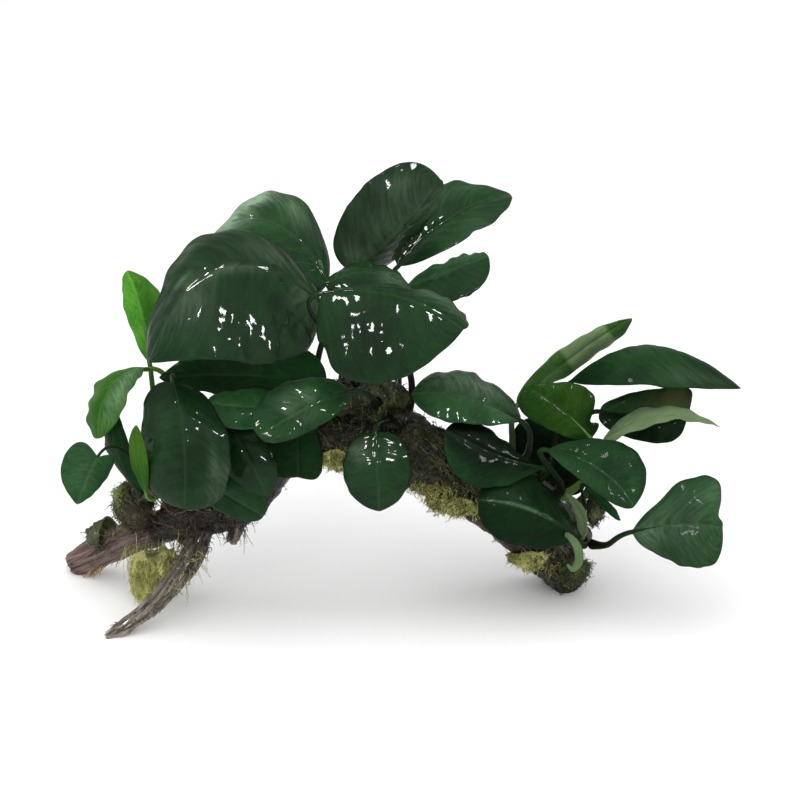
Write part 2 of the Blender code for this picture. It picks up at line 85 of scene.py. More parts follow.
# Relief of the wood in mm; the coarse kinds are less on thin limbs, and all are more on grey wood.
LUMPS, KNOTS, CRACKS, PITS = 0.8, 0.6, 0.9, 0.8
GRAIN, SHREDS = 0.5, 0.5
GREY_RELIEF = 0.9                       # how much higher it all is on grey wood
FULL_RELIEF_RADIUS = 11.0               # mm, of a limb that has the coarse relief in full
LEAST_RELIEF = 0.35                     # share of it that a thin limb has
CRACK_SHARPNESS = 9.0
PIT_START = 0.35                        # of the noise that makes the pits; the higher, the fewer
# Slivers torn off along a limb: on which one, the stretch of it from 0 at its foot to 1 at its tip,
# how many, how far they lift off at most in mm, and the seed of their draws. below: they are fresh
# splinters on the underside.
TORN = {
    "front_limb_fibres": dict(
        limb="front", stretch=(0.12, 0.92), count=120, lift=1.8, seed=801, below=False),
    "rear_limb_fibres": dict(
        limb="rear", stretch=(0.30, 0.95), count=40, lift=0.8, seed=802, below=False),
    "rear_limb_splinters": dict(
        limb="rear", stretch=(0.66, 0.86), count=34, lift=4.5, seed=803, below=True),
}
SLIVER_RADIUS = (0.35, 0.75)            # mm, least and most
SLIVER_SEAT = 0.94                      # how far out its foot lies, as a share of the limb's radius
SLIVER_SHAKE = 0.12                     # mm, how far it wavers
SLIVER_SIDES = 5
PLACES_PER_RING, LIMB_SIDES = 5, 30
LOBES = 0.1                             # height of a limb's broad lobes, as a share of its radius
GRAIN_GAP = 400.0                       # mm of grain between one limb's and the next one's
PLACES_AT_ONCE = 4000                   # so many of the skin are compared with the limbs at a time

# Rhizomes, the creeping stems that the leaves rise from: lines of (across, up, back).
RHIZOMES = {
    "rhizome_left": [(-117, -42, -40), (-101, -36, -38), (-86, -32, -36), (-73, -27, -36)],
    "rhizome_centre": [(-61, -12, -35), (-44, -3, -34), (-28, 0, -33), (-13, -3, -33), (2, -8, -33),
                       (12, -13, -33)],
    "rhizome_right": [(34, -25, -40), (48, -31, -39), (62, -39, -37), (74, -50, -34), (82, -63, -32)],
}
RHIZOME_RADIUS = 4.5                    # mm
RING_SPACING = 6.5                      # mm between the rings that shed leaves left
RING_HALF = 0.55                        # mm, half the width of a ring
RING_SWELL = 0.07                       # how much thinner it is there and thicker between
STEM_LUMPS, STEM_ROUGH = 0.07, 0.03     # how uneven it is, in coarse and in fine lumps
STEM_SLIM = 0.97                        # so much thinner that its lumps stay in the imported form
STEM_TIP, STEM_TIP_RUN = 0.72, 3.5      # how thick its tips are, and over how many mm they taper
STEM_STEPS = 40                         # steps that it is divided into, to place the stalks
STEM_RINGS, STEM_SIDES = 30, 28         # rings of its mesh from one of its places to the next

# Leaves. rib: foot, middle and tip of the midrib. wide: the widest points of the two margins.
# low and high: each half's fullness towards the foot and the tip. lobes: how far it reaches back past
# its foot. crown: how far its halves arch. fan: how far the two halves turn with a bent midrib.
# stem: rhizome, and how far along it the stalk starts. small: its stalk is thin.
LEAVES = {
    "leaf_big_left": dict(
        rib=[(-36, 44, -29), (-79, 57, -50), (-111, 17, -66)], wide=[(-66, 15.5, -76), (-89, 71, -32)],
        low=(0.5, 0.85), high=(0.5, 0.33), fan=(0.5, 1.3), stem=("rhizome_centre", 0.30)),
    "leaf_big_right": dict(
        rib=[(-34.5, 47, -48), (-3, 46, -52), (28, 31, -58)], wide=[(-14, 7, -73), (12, 48, -40)],
        low=(0.6, 0.95), high=(0.6, 0.5), stem=("rhizome_centre", 0.50)),
    "leaf_upper_left": dict(
        rib=[(-32, 51, -10), (-56, 78, 2), (-83, 72, 6)], wide=[(-58, 60, -18), (-43, 87, 18)],
        low=(0.5, 1.15), high=(0.45, 1.1), stem=("rhizome_centre", 0.42)),
    "leaf_top_centre": dict(
        rib=[(-20, 55, -4), (0, 76, 0), (18, 97, 6)], wide=[(-17, 93, 6), (5, 70, 14)],
        low=(0.35, 0.4), high=(0.35, 0.6), stem=("rhizome_centre", 0.60)),
    "leaf_top_right": dict(
        rib=[(-1, 59, 14), (22, 80, 26), (48, 91, 34)], wide=[(37, 75.5, 12), (9, 90, 42)],
        low=(0.8, 0.8), high=(0.45, 1.0), stem=("rhizome_centre", 0.72)),
    "leaf_small_centre": dict(
        rib=[(-32, 52, -24), (-13, 56, -22), (5, 49, -18)], wide=[(-15, 48, -30), (-15, 61, -12)],
        low=(0.5, 0.7), high=(0.5, 0.7), stem=("rhizome_centre", 0.55), small=True),
    "leaf_right_of_centre": dict(
        rib=[(2, 48, -14), (22, 57, -6), (39, 63, 2)], wide=[(28, 45, -20), (21, 62, 4)],
        low=(0.6, 0.5), high=(0.5, 0.6), stem=("rhizome_centre", 0.80)),
    "leaf_left_bright": dict(
        rib=[(-110, 16, -30), (-114, 39, -27), (-120, 57, -22)], wide=[(-121, 40, -24), (-104, 42, -14)],
        low=(0.8, 0.75), high=(0.8, 0.75), stem=("rhizome_left", 0.35)),
    "leaf_left_light": dict(
        rib=[(-110, 14, -38), (-127, 7, -42), (-133, -17, -50)], wide=[(-134, 6, -28), (-119, 2, -54)],
        low=(0.5, 0.5), high=(1.0, 0.6), fan=(0.4, 0.0), stem=("rhizome_left", 0.25)),
    "leaf_dark_edge": dict(
        rib=[(-115, -41, -50), (-125, -22, -50), (-126, -4, -48)],
        wide=[(-130, -19, -42), (-119, -20, -49)],
        low=(0.6, 0.7), high=(0.6, 0.7), stem=("rhizome_left", 0.04)),
    "leaf_spear": dict(
        rib=[(-112, -41, -69), (-115, -26, -71), (-116, -11, -72)],
        wide=[(-119, -24, -70), (-111, -26, -72)],
        low=(0.75, 0.75), high=(0.75, 0.75), stem=("rhizome_left", 0.34), small=True),
    "leaf_heart": dict(
        rib=[(-133, -25, -66), (-138, -35, -71), (-142, -46, -76)],
        wide=[(-149, -27, -70), (-128, -33, -68)],
        low=(0.35, 0.8), high=(0.35, 0.8), lobes=0.7, stem=("rhizome_left", 0.2), small=True),
    "leaf_lower_left": dict(
        rib=[(-99, 7, -58), (-95, -20, -76), (-95, -48, -82)], wide=[(-114, -22, -64), (-74, -26, -72)],
        low=(0.5, 0.3), high=(0.5, 0.36), stem=("rhizome_left", 0.55)),
    "leaf_behind_lower_left": dict(
        rib=[(-78, -6, -46), (-68, -23, -62), (-59, -42, -66)], wide=[(-81, -26, -58), (-57, -21, -62)],
        low=(0.5, 0.7), high=(0.5, 0.6), stem=("rhizome_left", 0.80)),
    "leaf_low_dark": dict(
        rib=[(-88, -34, -54), (-74, -43, -57), (-60, -51, -60)], wide=[(-78, -50, -60), (-66, -35, -54)],
        low=(0.5, 0.5), high=(0.5, 0.5), stem=("rhizome_left", 0.65), small=True),
    "leaf_centre_glossy": dict(
        rib=[(-22, 4, -54), (-40, -3, -66), (-62, -16, -76)], wide=[(-38, -13, -72), (-54, 6, -62)],
        low=(0.6, 0.42), high=(0.6, 0.42), stem=("rhizome_centre", 0.62)),
    "leaf_bright_left": dict(
        rib=[(-46, -2, -49), (-66, -3, -53), (-85, -1, -56)], wide=[(-70, -13, -60), (-64, 5, -46)],
        low=(0.5, 0.55), high=(0.5, 0.55), stem=("rhizome_centre", 0.36)),
    "leaf_dark_behind": dict(
        rib=[(-33, 7, -38), (-68, 11, -40), (-106, 10, -44)], wide=[(-64, 1, -38), (-60, 28, -32)],
        low=(0.5, 0.7), high=(0.75, 0.7), stem=("rhizome_centre", 0.44)),
    "leaf_dark_low": dict(
        rib=[(-46, -4, -42), (-45, -18, -47), (-45, -34, -50)], wide=[(-59, -24, -48), (-34, -27, -48)],
        low=(0.5, 0.25), high=(0.5, 0.2), stem=("rhizome_centre", 0.2)),
    "leaf_centre_hanging": dict(
        rib=[(-11, -15, -60), (-10, -32, -70), (-9, -49, -74)], wide=[(-25, -32, -66), (5, -30, -66)],
        low=(0.6, 0.42), high=(0.6, 0.42), stem=("rhizome_centre", 0.70)),
    "leaf_right_of_arch": dict(
        rib=[(53, -9, -40), (29, 1, -46), (5, 3, -50)], wide=[(24, -10, -60), (25, 13, -30)],
        low=(0.9, 0.5), high=(0.65, 0.25), stem=("rhizome_right", 0.30)),
    "leaf_young_twisted": dict(
        rib=[(52, -2, -24), (77, 20, -14), (102, 36, -6)], wide=[(87, 20, -6), (67, 19.5, -20)],
        low=(1.0, 0.6), high=(0.45, 0.8), stem=("rhizome_right", 0.22)),
    "leaf_bright_centre": dict(
        rib=[(84, -17, -46), (70, -3, -46), (55, 6, -44)], wide=[(58, -9, -50), (84, 4, -40)],
        low=(0.7, 0.3), high=(0.5, 1.2), stem=("rhizome_right", 0.62)),
    "leaf_long_right": dict(
        rib=[(75, 8, -20), (110, 23.5, -22), (150, 5, -18)], wide=[(112, 6, -42), (109, 20, -4)],
        low=(1.0, 0.95), high=(0.5, 0.6), stem=("rhizome_right", 0.48)),
    "leaf_dark_square": dict(
        rib=[(88, -5, -24), (109, -6, -24), (127, -6, -22)], wide=[(114, -19, -32), (122, 6, -17)],
        low=(0.5, 0.18), high=(0.5, 0.15), stem=("rhizome_right", 0.66)),
    "leaf_pale_right": dict(
        rib=[(89, -19, -38), (113, -7, -44), (141, -12, -44)], wide=[(108, -12, -54), (105, -4, -34)],
        low=(0.5, 0.9), high=(0.45, 0.9), stem=("rhizome_right", 0.72)),
    "leaf_front_green": dict(
        rib=[(65, -22, -56), (87, -30, -60), (103, -47, -66)], wide=[(84, -39, -68), (104, -23, -50)],
        low=(0.85, 0.6), high=(0.85, 0.36), stem=("rhizome_right", 0.57)),
    "leaf_narrow_small": dict(
        rib=[(82, -38, -46), (90, -45, -48), (97, -53, -48)], wide=[(88, -47, -47), (91, -44, -51)],
        low=(0.5, 0.75), high=(0.5, 0.75), stem=("rhizome_right", 0.78), small=True),
    "leaf_dark_right": dict(
        rib=[(82, -36, -25), (67, -27, -23), (50, -14, -22)], wide=[(62, -38, -22), (72, -12, -22)],
        low=(0.5, 0.5), high=(0.5, 0.5), stem=("rhizome_right", 0.58), small=True),
    "leaf_right_low_dark": dict(
        rib=[(63, -30, -48), (43, -24, -56), (20, -13, -58)], wide=[(30, -37, -66), (36, -10.5, -48)],
        low=(1.2, 0.5), high=(1.7, 0.45), stem=("rhizome_right", 0.42)),
    "leaf_lower_front": dict(
        rib=[(77, -60, -50), (57, -48, -62), (35, -44, -62)], wide=[(48, -63, -66), (57, -33, -48)],
        low=(0.75, 0.6), high=(0.45, 0.6), stem=("rhizome_right", 0.92)),
    "leaf_strip": dict(
        rib=[(81, -60, -52), (80, -51, -56), (73, -41, -57)], wide=[(77, -52, -53), (82, -50, -58)],
        low=(0.5, 0.75), high=(0.5, 0.75), stem=("rhizome_right", 0.8), small=True),
    "leaf_far_right": dict(
        rib=[(102, -58, -60), (122, -55, -66), (142, -56, -68)], wide=[(131, -74, -74), (134, -33, -56)],
        low=(0.85, 0.36), high=(0.8, 1.0), stem=("rhizome_right", 1.0)),
}

# How each leaf differs from an even dark one. finish: its kind in LEAF_FINISHES. ripple, ripples and
# quilt: in place of RIPPLE, RIPPLES and QUILT. tone: how light it is, 1 as usual, or
# how light its low and its high half are; partly the leaf's own tone and partly painted light and
# shade, one half lighter than the other where the blade folds along its midrib. underside: the
# stretch of the blade, from 0 at its foot to 1 at its tip, that shows its pale underside. notches:
# (side, place along, depth, width). patches: (place across, place along, half width, half length,
# strength); above 0 a patch is painted pale sheen, and below 0 it is painted shade.
# olive: a patch that has turned yellow-brown.
LOOKS = {
    "leaf_big_left": dict(ripple=1.2, ripples=2.5, quilt=0.5, tone=(0.85, 0.75), patches=[
        (0.5, 0.25, 0.35, 0.17, 0.11), (0.0, 0.44, 0.07, 0.14, 0.16), (0.35, 0.74, 0.08, 0.07, 0.20),
        (-0.1, 0.72, 0.40, 0.14, 0.13), (0.85, 0.66, 0.12, 0.12, 0.20), (-0.2, 0.05, 0.5, 0.07, 0.12),
        (-0.4, 0.42, 0.35, 0.18, -0.35)]),
    "leaf_big_right": dict(ripple=0.9, ripples=2.5, quilt=0.35, tone=0.9, patches=[
        (0.8, 0.65, 0.25, 0.30, 0.12), (0.5, 0.25, 0.25, 0.2, 0.05), (-0.4, 0.45, 0.5, 0.30, -0.25)],
        notches=[(1, 0.93, 0.12, 0.03), (-1, 0.13, 0.14, 0.05)]),
    "leaf_upper_left": dict(ripple=0.8, ripples=2.0, tone=1.3, patches=[
        (0.1, 0.98, 1.3, 0.20, 1.7), (0.9, 0.70, 0.30, 0.15, 1.4), (0.6, 0.35, 0.3, 0.12, 0.25)]),
    "leaf_top_centre": dict(ripple=1.0, ripples=2.0, quilt=0.45, tone=0.75, patches=[
        (-0.2, 0.60, 0.8, 0.45, 0.08), (0.8, 0.80, 0.40, 0.20, 0.25), (-0.2, 0.08, 0.5, 0.10, 0.12),
        (-0.6, 0.72, 0.2, 0.10, 0.10), (0.2, 0.70, 0.15, 0.10, 0.08)],
        olive=(0.8, 0.25, 0.25, 0.15, 0.5), notches=[(1, 0.80, 0.05, 0.04)]),
    "leaf_top_right": dict(ripple=1.0, ripples=2.0, quilt=0.35, tone=1.3, patches=[
        (0.7, 0.55, 0.35, 0.30, 0.05), (-0.8, 0.45, 0.25, 0.18, 0.08), (0.1, 0.1, 0.8, 0.15, -0.45)],
        notches=[(-1, 0.45, 0.06, 0.03)]),
    "leaf_small_centre": dict(ripple=0.6, tone=0.9, patches=[(-0.2, 0.8, 0.8, 0.2, 0.20)]),
    "leaf_right_of_centre": dict(ripple=0.8, ripples=3.0, quilt=0.35, tone=(1.0, 1.5), patches=[
        (0.6, 0.7, 0.3, 0.25, 0.08)]),
    "leaf_left_bright": dict(finish="bright", tone=(1.7, 1.2), ripple=0.5),
    "leaf_left_light": dict(finish="bright", tone=0.65, ripple=1.0,
                            patches=[(0.6, 0.5, 0.4, 0.4, 0.35)]),
    "leaf_dark_edge": dict(finish="drained", tone=1.0),
    "leaf_spear": dict(finish="bright", tone=0.5, ripple=0.3),
    "leaf_heart": dict(finish="drained", ripple=0.5, tone=1.6, patches=[(-0.3, 0.4, 0.6, 0.5, 0.06)]),
    "leaf_lower_left": dict(ripple=0.9, ripples=2.0, quilt=0.3, tone=0.75, patches=[
        (0.62, 0.62, 0.10, 0.18, 0.07), (-0.5, 0.35, 0.3, 0.2, 0.03), (0.85, 0.75, 0.25, 0.2, 0.10)]),
    "leaf_behind_lower_left": dict(ripple=0.8, tone=0.7),
    "leaf_low_dark": dict(ripple=0.9, ripples=3.0, tone=1.4),
    "leaf_centre_glossy": dict(ripple=0.7, quilt=0.45, tone=1.2, patches=[
        (0.35, 0.45, 0.3, 0.10, 0.20), (0.3, 0.65, 0.3, 0.08, 0.16), (-0.4, 0.55, 0.3, 0.08, 0.06)]),
    "leaf_bright_left": dict(tone=3.0),
    "leaf_dark_behind": dict(finish="drained", ripple=0.8, tone=1.3),
    "leaf_dark_low": dict(finish="drained", tone=0.75),
    "leaf_centre_hanging": dict(ripple=0.5, quilt=0.45, tone=0.85, patches=[
        (-0.65, 0.30, 0.30, 0.14, 0.25), (0.45, 0.3, 0.2, 0.10, 0.06)]),
    "leaf_right_of_arch": dict(ripple=0.9, ripples=2.5, quilt=0.4, tone=(1.6, 1.1), patches=[
        (0.5, 0.50, 0.4, 0.35, 0.22), (-0.4, 0.15, 0.4, 0.12, 0.15)]),
    "leaf_young_twisted": dict(finish="pale", tone=(1.0, 0.85), ripple=0.6, underside=(0.42, 0.80)),
    "leaf_bright_centre": dict(finish="bright", tone=0.27, ripple=0.7, notches=[(1, 0.13, 0.62, 0.07)],
                               patches=[(0.7, 0.08, 0.5, 0.12, -0.5)]),
    "leaf_long_right": dict(finish="drained", ripple=0.8, ripples=2.0, quilt=0.35, tone=(0.9, 1.0),
                            patches=[(-0.7, 0.75, 0.30, 0.20, 0.08), (0.0, 0.45, 0.3, 0.15, 0.07)]),
    "leaf_dark_square": dict(finish="drained", tone=(0.5, 1.6), ripple=0.8,
                             olive=(0.5, 0.75, 0.5, 0.28, 0.8)),
    "leaf_pale_right": dict(finish="pale", tone=0.6, ripple=0.7, underside=(0.0, 1.0)),
    "leaf_front_green": dict(finish="drained", tone=1.3, ripple=0.5,
                             patches=[(0.2, 0.15, 0.7, 0.20, -0.45)]),
    "leaf_narrow_small": dict(finish="drained", tone=1.6, ripple=0.2),
    "leaf_dark_right": dict(finish="drained", tone=0.4, ripple=0.5),
    "leaf_right_low_dark": dict(finish="drained", tone=(1.1, 0.25), ripple=0.8,
                                patches=[(-0.25, 0.6, 0.45, 0.8, -0.8)]),
    "leaf_lower_front": dict(finish="drained", tone=(0.55, 0.65), ripple=0.7, patches=[
        (0.0, 0.5, 0.04, 0.5, 0.30)]),
    "leaf_strip": dict(finish="pale", tone=0.4, ripple=0.2, underside=(0.0, 1.0)),
    "leaf_far_right": dict(finish="drained", tone=1.5, ripple=1.0, notches=[(1, 0.90, 0.42, 0.08)],
                           patches=[(-0.3, 0.15, 0.7, 0.16, 0.20), (0.0, 0.55, 1.2, 0.6, 0.09),
                                    (0.8, 0.75, 0.3, 0.15, 0.10)]),
}
LARGE_LEAVES = ("leaf_big_left", "leaf_big_right", "leaf_upper_left", "leaf_top_centre",
                "leaf_top_right", "leaf_lower_left", "leaf_long_right")
PETIOLE_RADIUS = 1.5                    # mm at the foot of a full-size leaf's stalk
SMALL_STALK = 0.6                       # a small leaf's stalk, as a share of that
STALK_PLACES, STALK_SIDES = 20, 10
STALK_TAPER = 0.3                       # share of its radius that a stalk loses up to the blade
STALK_SWELL, STALK_SWELL_RUN = 0.5, 4.0  # how much thicker at the rhizome, and over how many mm
STALK_ROOT = 1.2                        # mm, how far a stalk starts inside the rhizome
RIB_RADIUS = 0.62                       # of the midrib, as a share of the stalk's
RIB_TIP = 0.12                          # mm, its radius at the tip
RIB_DROP = 0.45                         # mm, how far the midrib's middle lies under the blade's
BLADE_HALF = 0.28                       # mm, half the thickness of a blade beside its midrib
THIN_MARGIN, THIN_END = 0.25, 0.35      # what of that is left at the margins, and at foot and tip
GRIDS = ((44, 27), (64, 41))            # rows and columns of the mesh of a blade, and of a large one
VEIN_PAIRS = 9                          # side veins on each half of a blade
VEIN_SWEEP = 0.26                       # how far one runs towards the tip, as a share of the blade
VEIN_LAG = 0.35                         # how far the veins of the two halves are out of step
RIPPLE = 0.5                            # mm, height of the margin's waves
RIPPLES = 2.5                           # waves along a margin
QUILT = 0.22                            # mm, how far the blade swells between two side veins
QUILT_START = 2.0                       # mm from the midrib, over which that sets in
GROOVE_DEPTH, GROOVE_HALF = 0.45, 0.7   # mm, depth and half width of the groove over the midrib
SAG = 0.7                               # mm, height of broad unevenness
SAG_SIZES = (9.0, 16.0)                 # mm, its size on a blade, and on a large one
CRUMPLE, CRUMPLE_SIZE = 0.16, 3.2       # mm, height and size of fine unevenness
MARGIN_UNEVEN = 0.018                   # how far a margin wavers, as a share of the half width
MARGIN_SIZE, MARGIN_RUN = 2.2, 30.0     # size of that, where the margin counts as so long
MARGINS_APART = 9.0                     # so that the two margins differ
PLAIN_MOOD = (0.0, 1.0, 0.0)            # no painted sheen, as light as usual and not olive
MARGIN_BENEATH = 0.3                    # how much of its underside's look the margin has

# Moss: how many strands each clump has, their kind, how long they are in mm, and how far they hang
# down, 0 to 1. tint: how light it is on the whole, 0 to 1. light: the axis along which it brightens,
# 0 for X and 2 for Z, from where to where in mm, and how much of the tint is left at the dark end; on
# the hanging clump it brightens downwards, painted light on its lower end.
# dents: depth in mm of its hollows and of its furrows.
MOSS = {
    "moss_left_end": dict(strands=700, finish="bright", reach=(3, 8), hang=0.3, tint=0.7,
                          light=(0, -115, -122, 0.08)),
    "moss_rear_limb": dict(strands=340, finish="dark", reach=(3, 7), hang=0.5, tint=0.55,
                           dents=(3.4, 2.4)),
    "moss_hanging": dict(strands=460, finish="yellow", reach=(6, 18), hang=0.9, tint=1.0,
                         light=(2, 34, 14, 0.35), dents=(2.2, 2.6)),
    "moss_rhizome": dict(strands=620, finish="dark", reach=(4, 9), hang=0.3),
    "moss_under_arch": dict(strands=260, finish="yellow", reach=(3, 8), hang=0.5),
    "moss_centre": dict(strands=620, finish="dark", reach=(4, 9), hang=0.3),
    "moss_right_of_centre": dict(strands=360, finish="yellow", reach=(4, 9), hang=0.3, tint=0.6),
    "moss_leg": dict(strands=260, finish="yellow", reach=(3, 7), hang=0.3, tint=0.6),
    "moss_foot": dict(strands=380, finish="dark", reach=(3, 8), hang=0.4, tint=0.9),
    "moss_right": dict(strands=260, finish="dark", reach=(3, 7), hang=0.2),
}
MOSS_SEED = 60.0                        # of the first clump, and one more for each of the next
MOSS_STEP = 0.6                         # mm between the points of a clump's body
DENTS = (1.3, 1.6)                      # mm, depth of its hollows and of its furrows
DENT_SIZES = (6.0, 2.2)                 # mm
LOOSE_SHARE = 0.3                       # of the strands that stand free of the body
RAGGED = 1.6                            # mm, how far these may pass the clump's form
LYING_HEIGHT = 1.2                      # mm, how far the others stand off the body
TINT_SIZE = 7.0                         # mm, size of lighter and darker patches
STRAND_POINTS, STRAND_SIDES = 6, 3
STRAND_WANDER = 0.22                    # how much a strand turns from one point to the next
STRAND_RADIUS = 0.17                    # mm
STRAND_ROOT = 0.4                       # mm, how far under the skin it starts
LEAST_HEIGHT = 0.1                      # mm, of a strand that lies
LEAFLETS = 7                            # along each strand
LEAFLET = (1.0, 0.40)                   # mm, length and width
LEAFLETS_ALONG = (0.15, 0.98)           # where the first and the last are, as shares of the strand
LEAFLET_TURN = 2.4                      # radians round the stem from one to the next
LEAFLET_FACES = ((0, 1, 3), (1, 2, 3), (2, 0, 3), (0, 2, 1))

# Roots over the wood: the route in (across, up), how many copies waver round it, and radius in mm.
ROOTS = {
    "roots_left": [
        ([(-118, -44), (-108, -52), (-96, -58), (-84, -62)], 7, 0.32),
        ([(-112, -40), (-100, -46), (-86, -50), (-72, -54)], 7, 0.30),
        ([(-95, -44), (-92, -56), (-96, -68), (-104, -78)], 6, 0.30),
        ([(-84, -48), (-76, -46), (-68, -42), (-58, -36)], 5, 0.28),
    ],
    "roots_centre": [
        ([(-40, -8), (-34, -16), (-30, -22)], 6, 0.28),
        ([(-18, -12), (-20, -22), (-22, -30)], 5, 0.30),
        ([(4, -14), (14, -24), (26, -34), (38, -44)], 8, 0.30),
        ([(14, -22), (24, -34), (32, -42), (40, -50)], 8, 0.32),
    ],
    "roots_right": [
        ([(36, -36), (44, -46), (52, -56), (60, -66)], 7, 0.30),
        ([(66, -58), (72, -68), (76, -78), (80, -84)], 9, 0.34),
        ([(58, -64), (64, -72), (70, -80)], 8, 0.32),
    ],
}
ROOT_SEED = 500                         # of the first roots, and one more for each of the next
ROOT_SPREAD = 2.2                       # mm, how far the copies of a route lie apart
ROOT_SHAKE = 0.22                       # mm, how far a root wavers on its way
ROOT_HEIGHTS = (0.3, 2.5)               # least and most over the wood, as shares of its radius
ROOT_STEPS, ROOT_SIDES = 8, 6
# The young rolled leaf at the right foot: a line of (across, up, back).
SHOOT = [(71, -58.5, -52), (74.5, -60, -56), (77.5, -63.5, -58), (79, -68, -59), (78.5, -72, -59),
         (76, -74.5, -59), (73.5, -72.5, -59)]
SHOOT_HALF_WIDTH = 2.1                  # mm
SHOOT_PLACES, SHOOT_SIDES = 40, 22
SHOOT_ROLL = 0.9                        # how far it turns about itself
SHOOT_FLATNESS = 0.55                   # its thickness as a share of its width
SHOOT_MOOD = (0.0, 0.6, 0.0)            # no painted sheen, somewhat darker than usual and not olive
MAT_REACH = (2.5, 7.0)                  # mm, length of a strand of the moss on the bare wood
MAT_HEIGHT = 2.2                        # mm, how far it stands off
MAT_HANG, FREE_HANG = 0.6, 0.9          # how far its strands bend down, and those that hang freely
MAT_SEED = 700                          # of the first, and one more for each of the next
# Growth on the wood: the middle of each area in (across, up), its half sizes, and how many strands.
# reach: their length in mm. free: they hang down freely.
MATS = {
    "mat_left": dict(finish="brown", areas=[
        (-92, -50, 14, 7, 260), (-72, -44, 8, 5, 160), (-112, -52, 6, 4, 60), (-88, -60, 6, 8, 120)]),
    "mat_rear_limb": dict(finish="bright", areas=[(-131, -58, 4, 2, 70)]),
    "mat_centre": dict(finish="dark", areas=[
        (-30, -10, 12, 8, 260), (-6, -14, 14, 8, 420), (16, -26, 10, 7, 340), (34, -38, 9, 5, 160)]),
    "mat_curls": dict(finish="bright", areas=[
        (-20, -8, 7, 5, 90), (30, -24, 5, 3, 30), (72, -75, 5, 4, 40), (-72, -67, 3, 3, 40)]),
    "mat_right": dict(finish="dark", areas=[(56, -54, 8, 6, 180), (74, -70, 6, 8, 240)]),
    "mat_yellow": dict(finish="yellow", areas=[
        (-24, -26, 6, 3, 110), (13, -39, 8, 2, 260), (26, -46, 8, 2.5, 170), (62, -72, 5, 3, 80),
        (-96, -76, 5, 7, 50)]),
    "hanging_fibres": dict(finish="yellow", free=True, reach=(5, 15), areas=[
        (-103, -65, 8, 3, 130), (-116, -64, 4, 2, 30), (-96, -68, 5, 4, 40)]),
    "hanging_roots": dict(finish="brown", free=True, reach=(5, 12), areas=[
        (-98, -64, 9, 3, 60), (-70, -52, 8, 3, 40)]),
}

# Materials of the leaves: its name, the dark and light of the blade, and its veins, underside and
# stalk. film: weight of the film of water; the water has run off all but the wet ones.
LEAF_FILM, DRAINED_FILM = 0.35, 0.05
MATURE = dict(deep=(0.0060, 0.021, 0.0075), light=(0.0100, 0.042, 0.0110), vein=(0.030, 0.074, 0.026),
              under=(0.020, 0.050, 0.017), stalk=(0.006, 0.009, 0.004))
LEAF_FINISHES = {
    "dark": dict(name="anubias_wet", **MATURE, film=LEAF_FILM),
    "drained": dict(name="anubias_drained", **MATURE, film=DRAINED_FILM),
    "bright": dict(
        name="anubias_bright", deep=(0.022, 0.11, 0.010), light=(0.075, 0.21, 0.022), film=DRAINED_FILM,
        vein=(0.12, 0.27, 0.05), under=(0.09, 0.19, 0.05), stalk=(0.09, 0.16, 0.03)),
    "pale": dict(
        name="anubias_pale", deep=(0.035, 0.11, 0.022), light=(0.07, 0.17, 0.04), film=DRAINED_FILM,
        vein=(0.18, 0.26, 0.12), under=(0.20, 0.30, 0.14), stalk=(0.030, 0.045, 0.016)),
}
OLIVE = (0.060, 0.062, 0.026)
# colour of the painted pale sheen that the leaves' pale patches get
PAINTED_SHEEN = (0.210, 0.310, 0.200)
SPECK = (0.030, 0.018, 0.007)
WATER_IOR = 1.33
LEAF_SPECULAR, WOOD_SPECULAR, STEM_SPECULAR, STRAND_SPECULAR = 0.02, 0.1, 0.5, 0.3
# Colours of the wood, each darkest and lightest; then of algae on it and of painted crevice shade.
BARK = ((0.008, 0.006, 0.0055), (0.045, 0.033, 0.028))
HEARTWOOD = ((0.065, 0.038, 0.033), (0.215, 0.140, 0.118))
WEATHERED = ((0.055, 0.046, 0.038), (0.38, 0.325, 0.26))
ALGAE = (0.040, 0.045, 0.014)
CREVICE_SHADE = (0.006, 0.004, 0.003)
STEM_COLOURS = ((0.010, 0.009, 0.005), (0.030, 0.032, 0.012))
RING_COLOUR = (0.022, 0.012, 0.006)
# Soft growth and slivers: name of the material, its colour where it is dark, light and dead, and
# how rough it is if not as usual.
GROWTH = {
    "bright": ("moss_bright", (0.060, 0.050, 0.024), (0.45, 0.66, 0.14), (0.10, 0.07, 0.03)),
    "yellow": ("moss_yellow", (0.27, 0.26, 0.065), (0.96, 0.98, 0.33), (0.30, 0.20, 0.07)),
    "dark": ("moss_dark", (0.014, 0.013, 0.007), (0.13, 0.17, 0.050), (0.05, 0.032, 0.015)),
    "brown": ("brown_fibres", (0.012, 0.010, 0.008), (0.13, 0.105, 0.070), (0.03, 0.02, 0.01)),
    "splinters": ("torn_heartwood", (0.30, 0.15, 0.04), (0.95, 0.62, 0.26), (0.50, 0.28, 0.10)),
    "roots": ("root_skin", (0.035, 0.028, 0.015), (0.30, 0.25, 0.13), (0.05, 0.03, 0.015), 0.4),
}

FLOOR_HALF = 4.0                        # m
FLOOR_COLOUR = (0.93, 0.93, 0.93, 1.0)
CLIP_END = 20.0                         # m, how far the camera sees
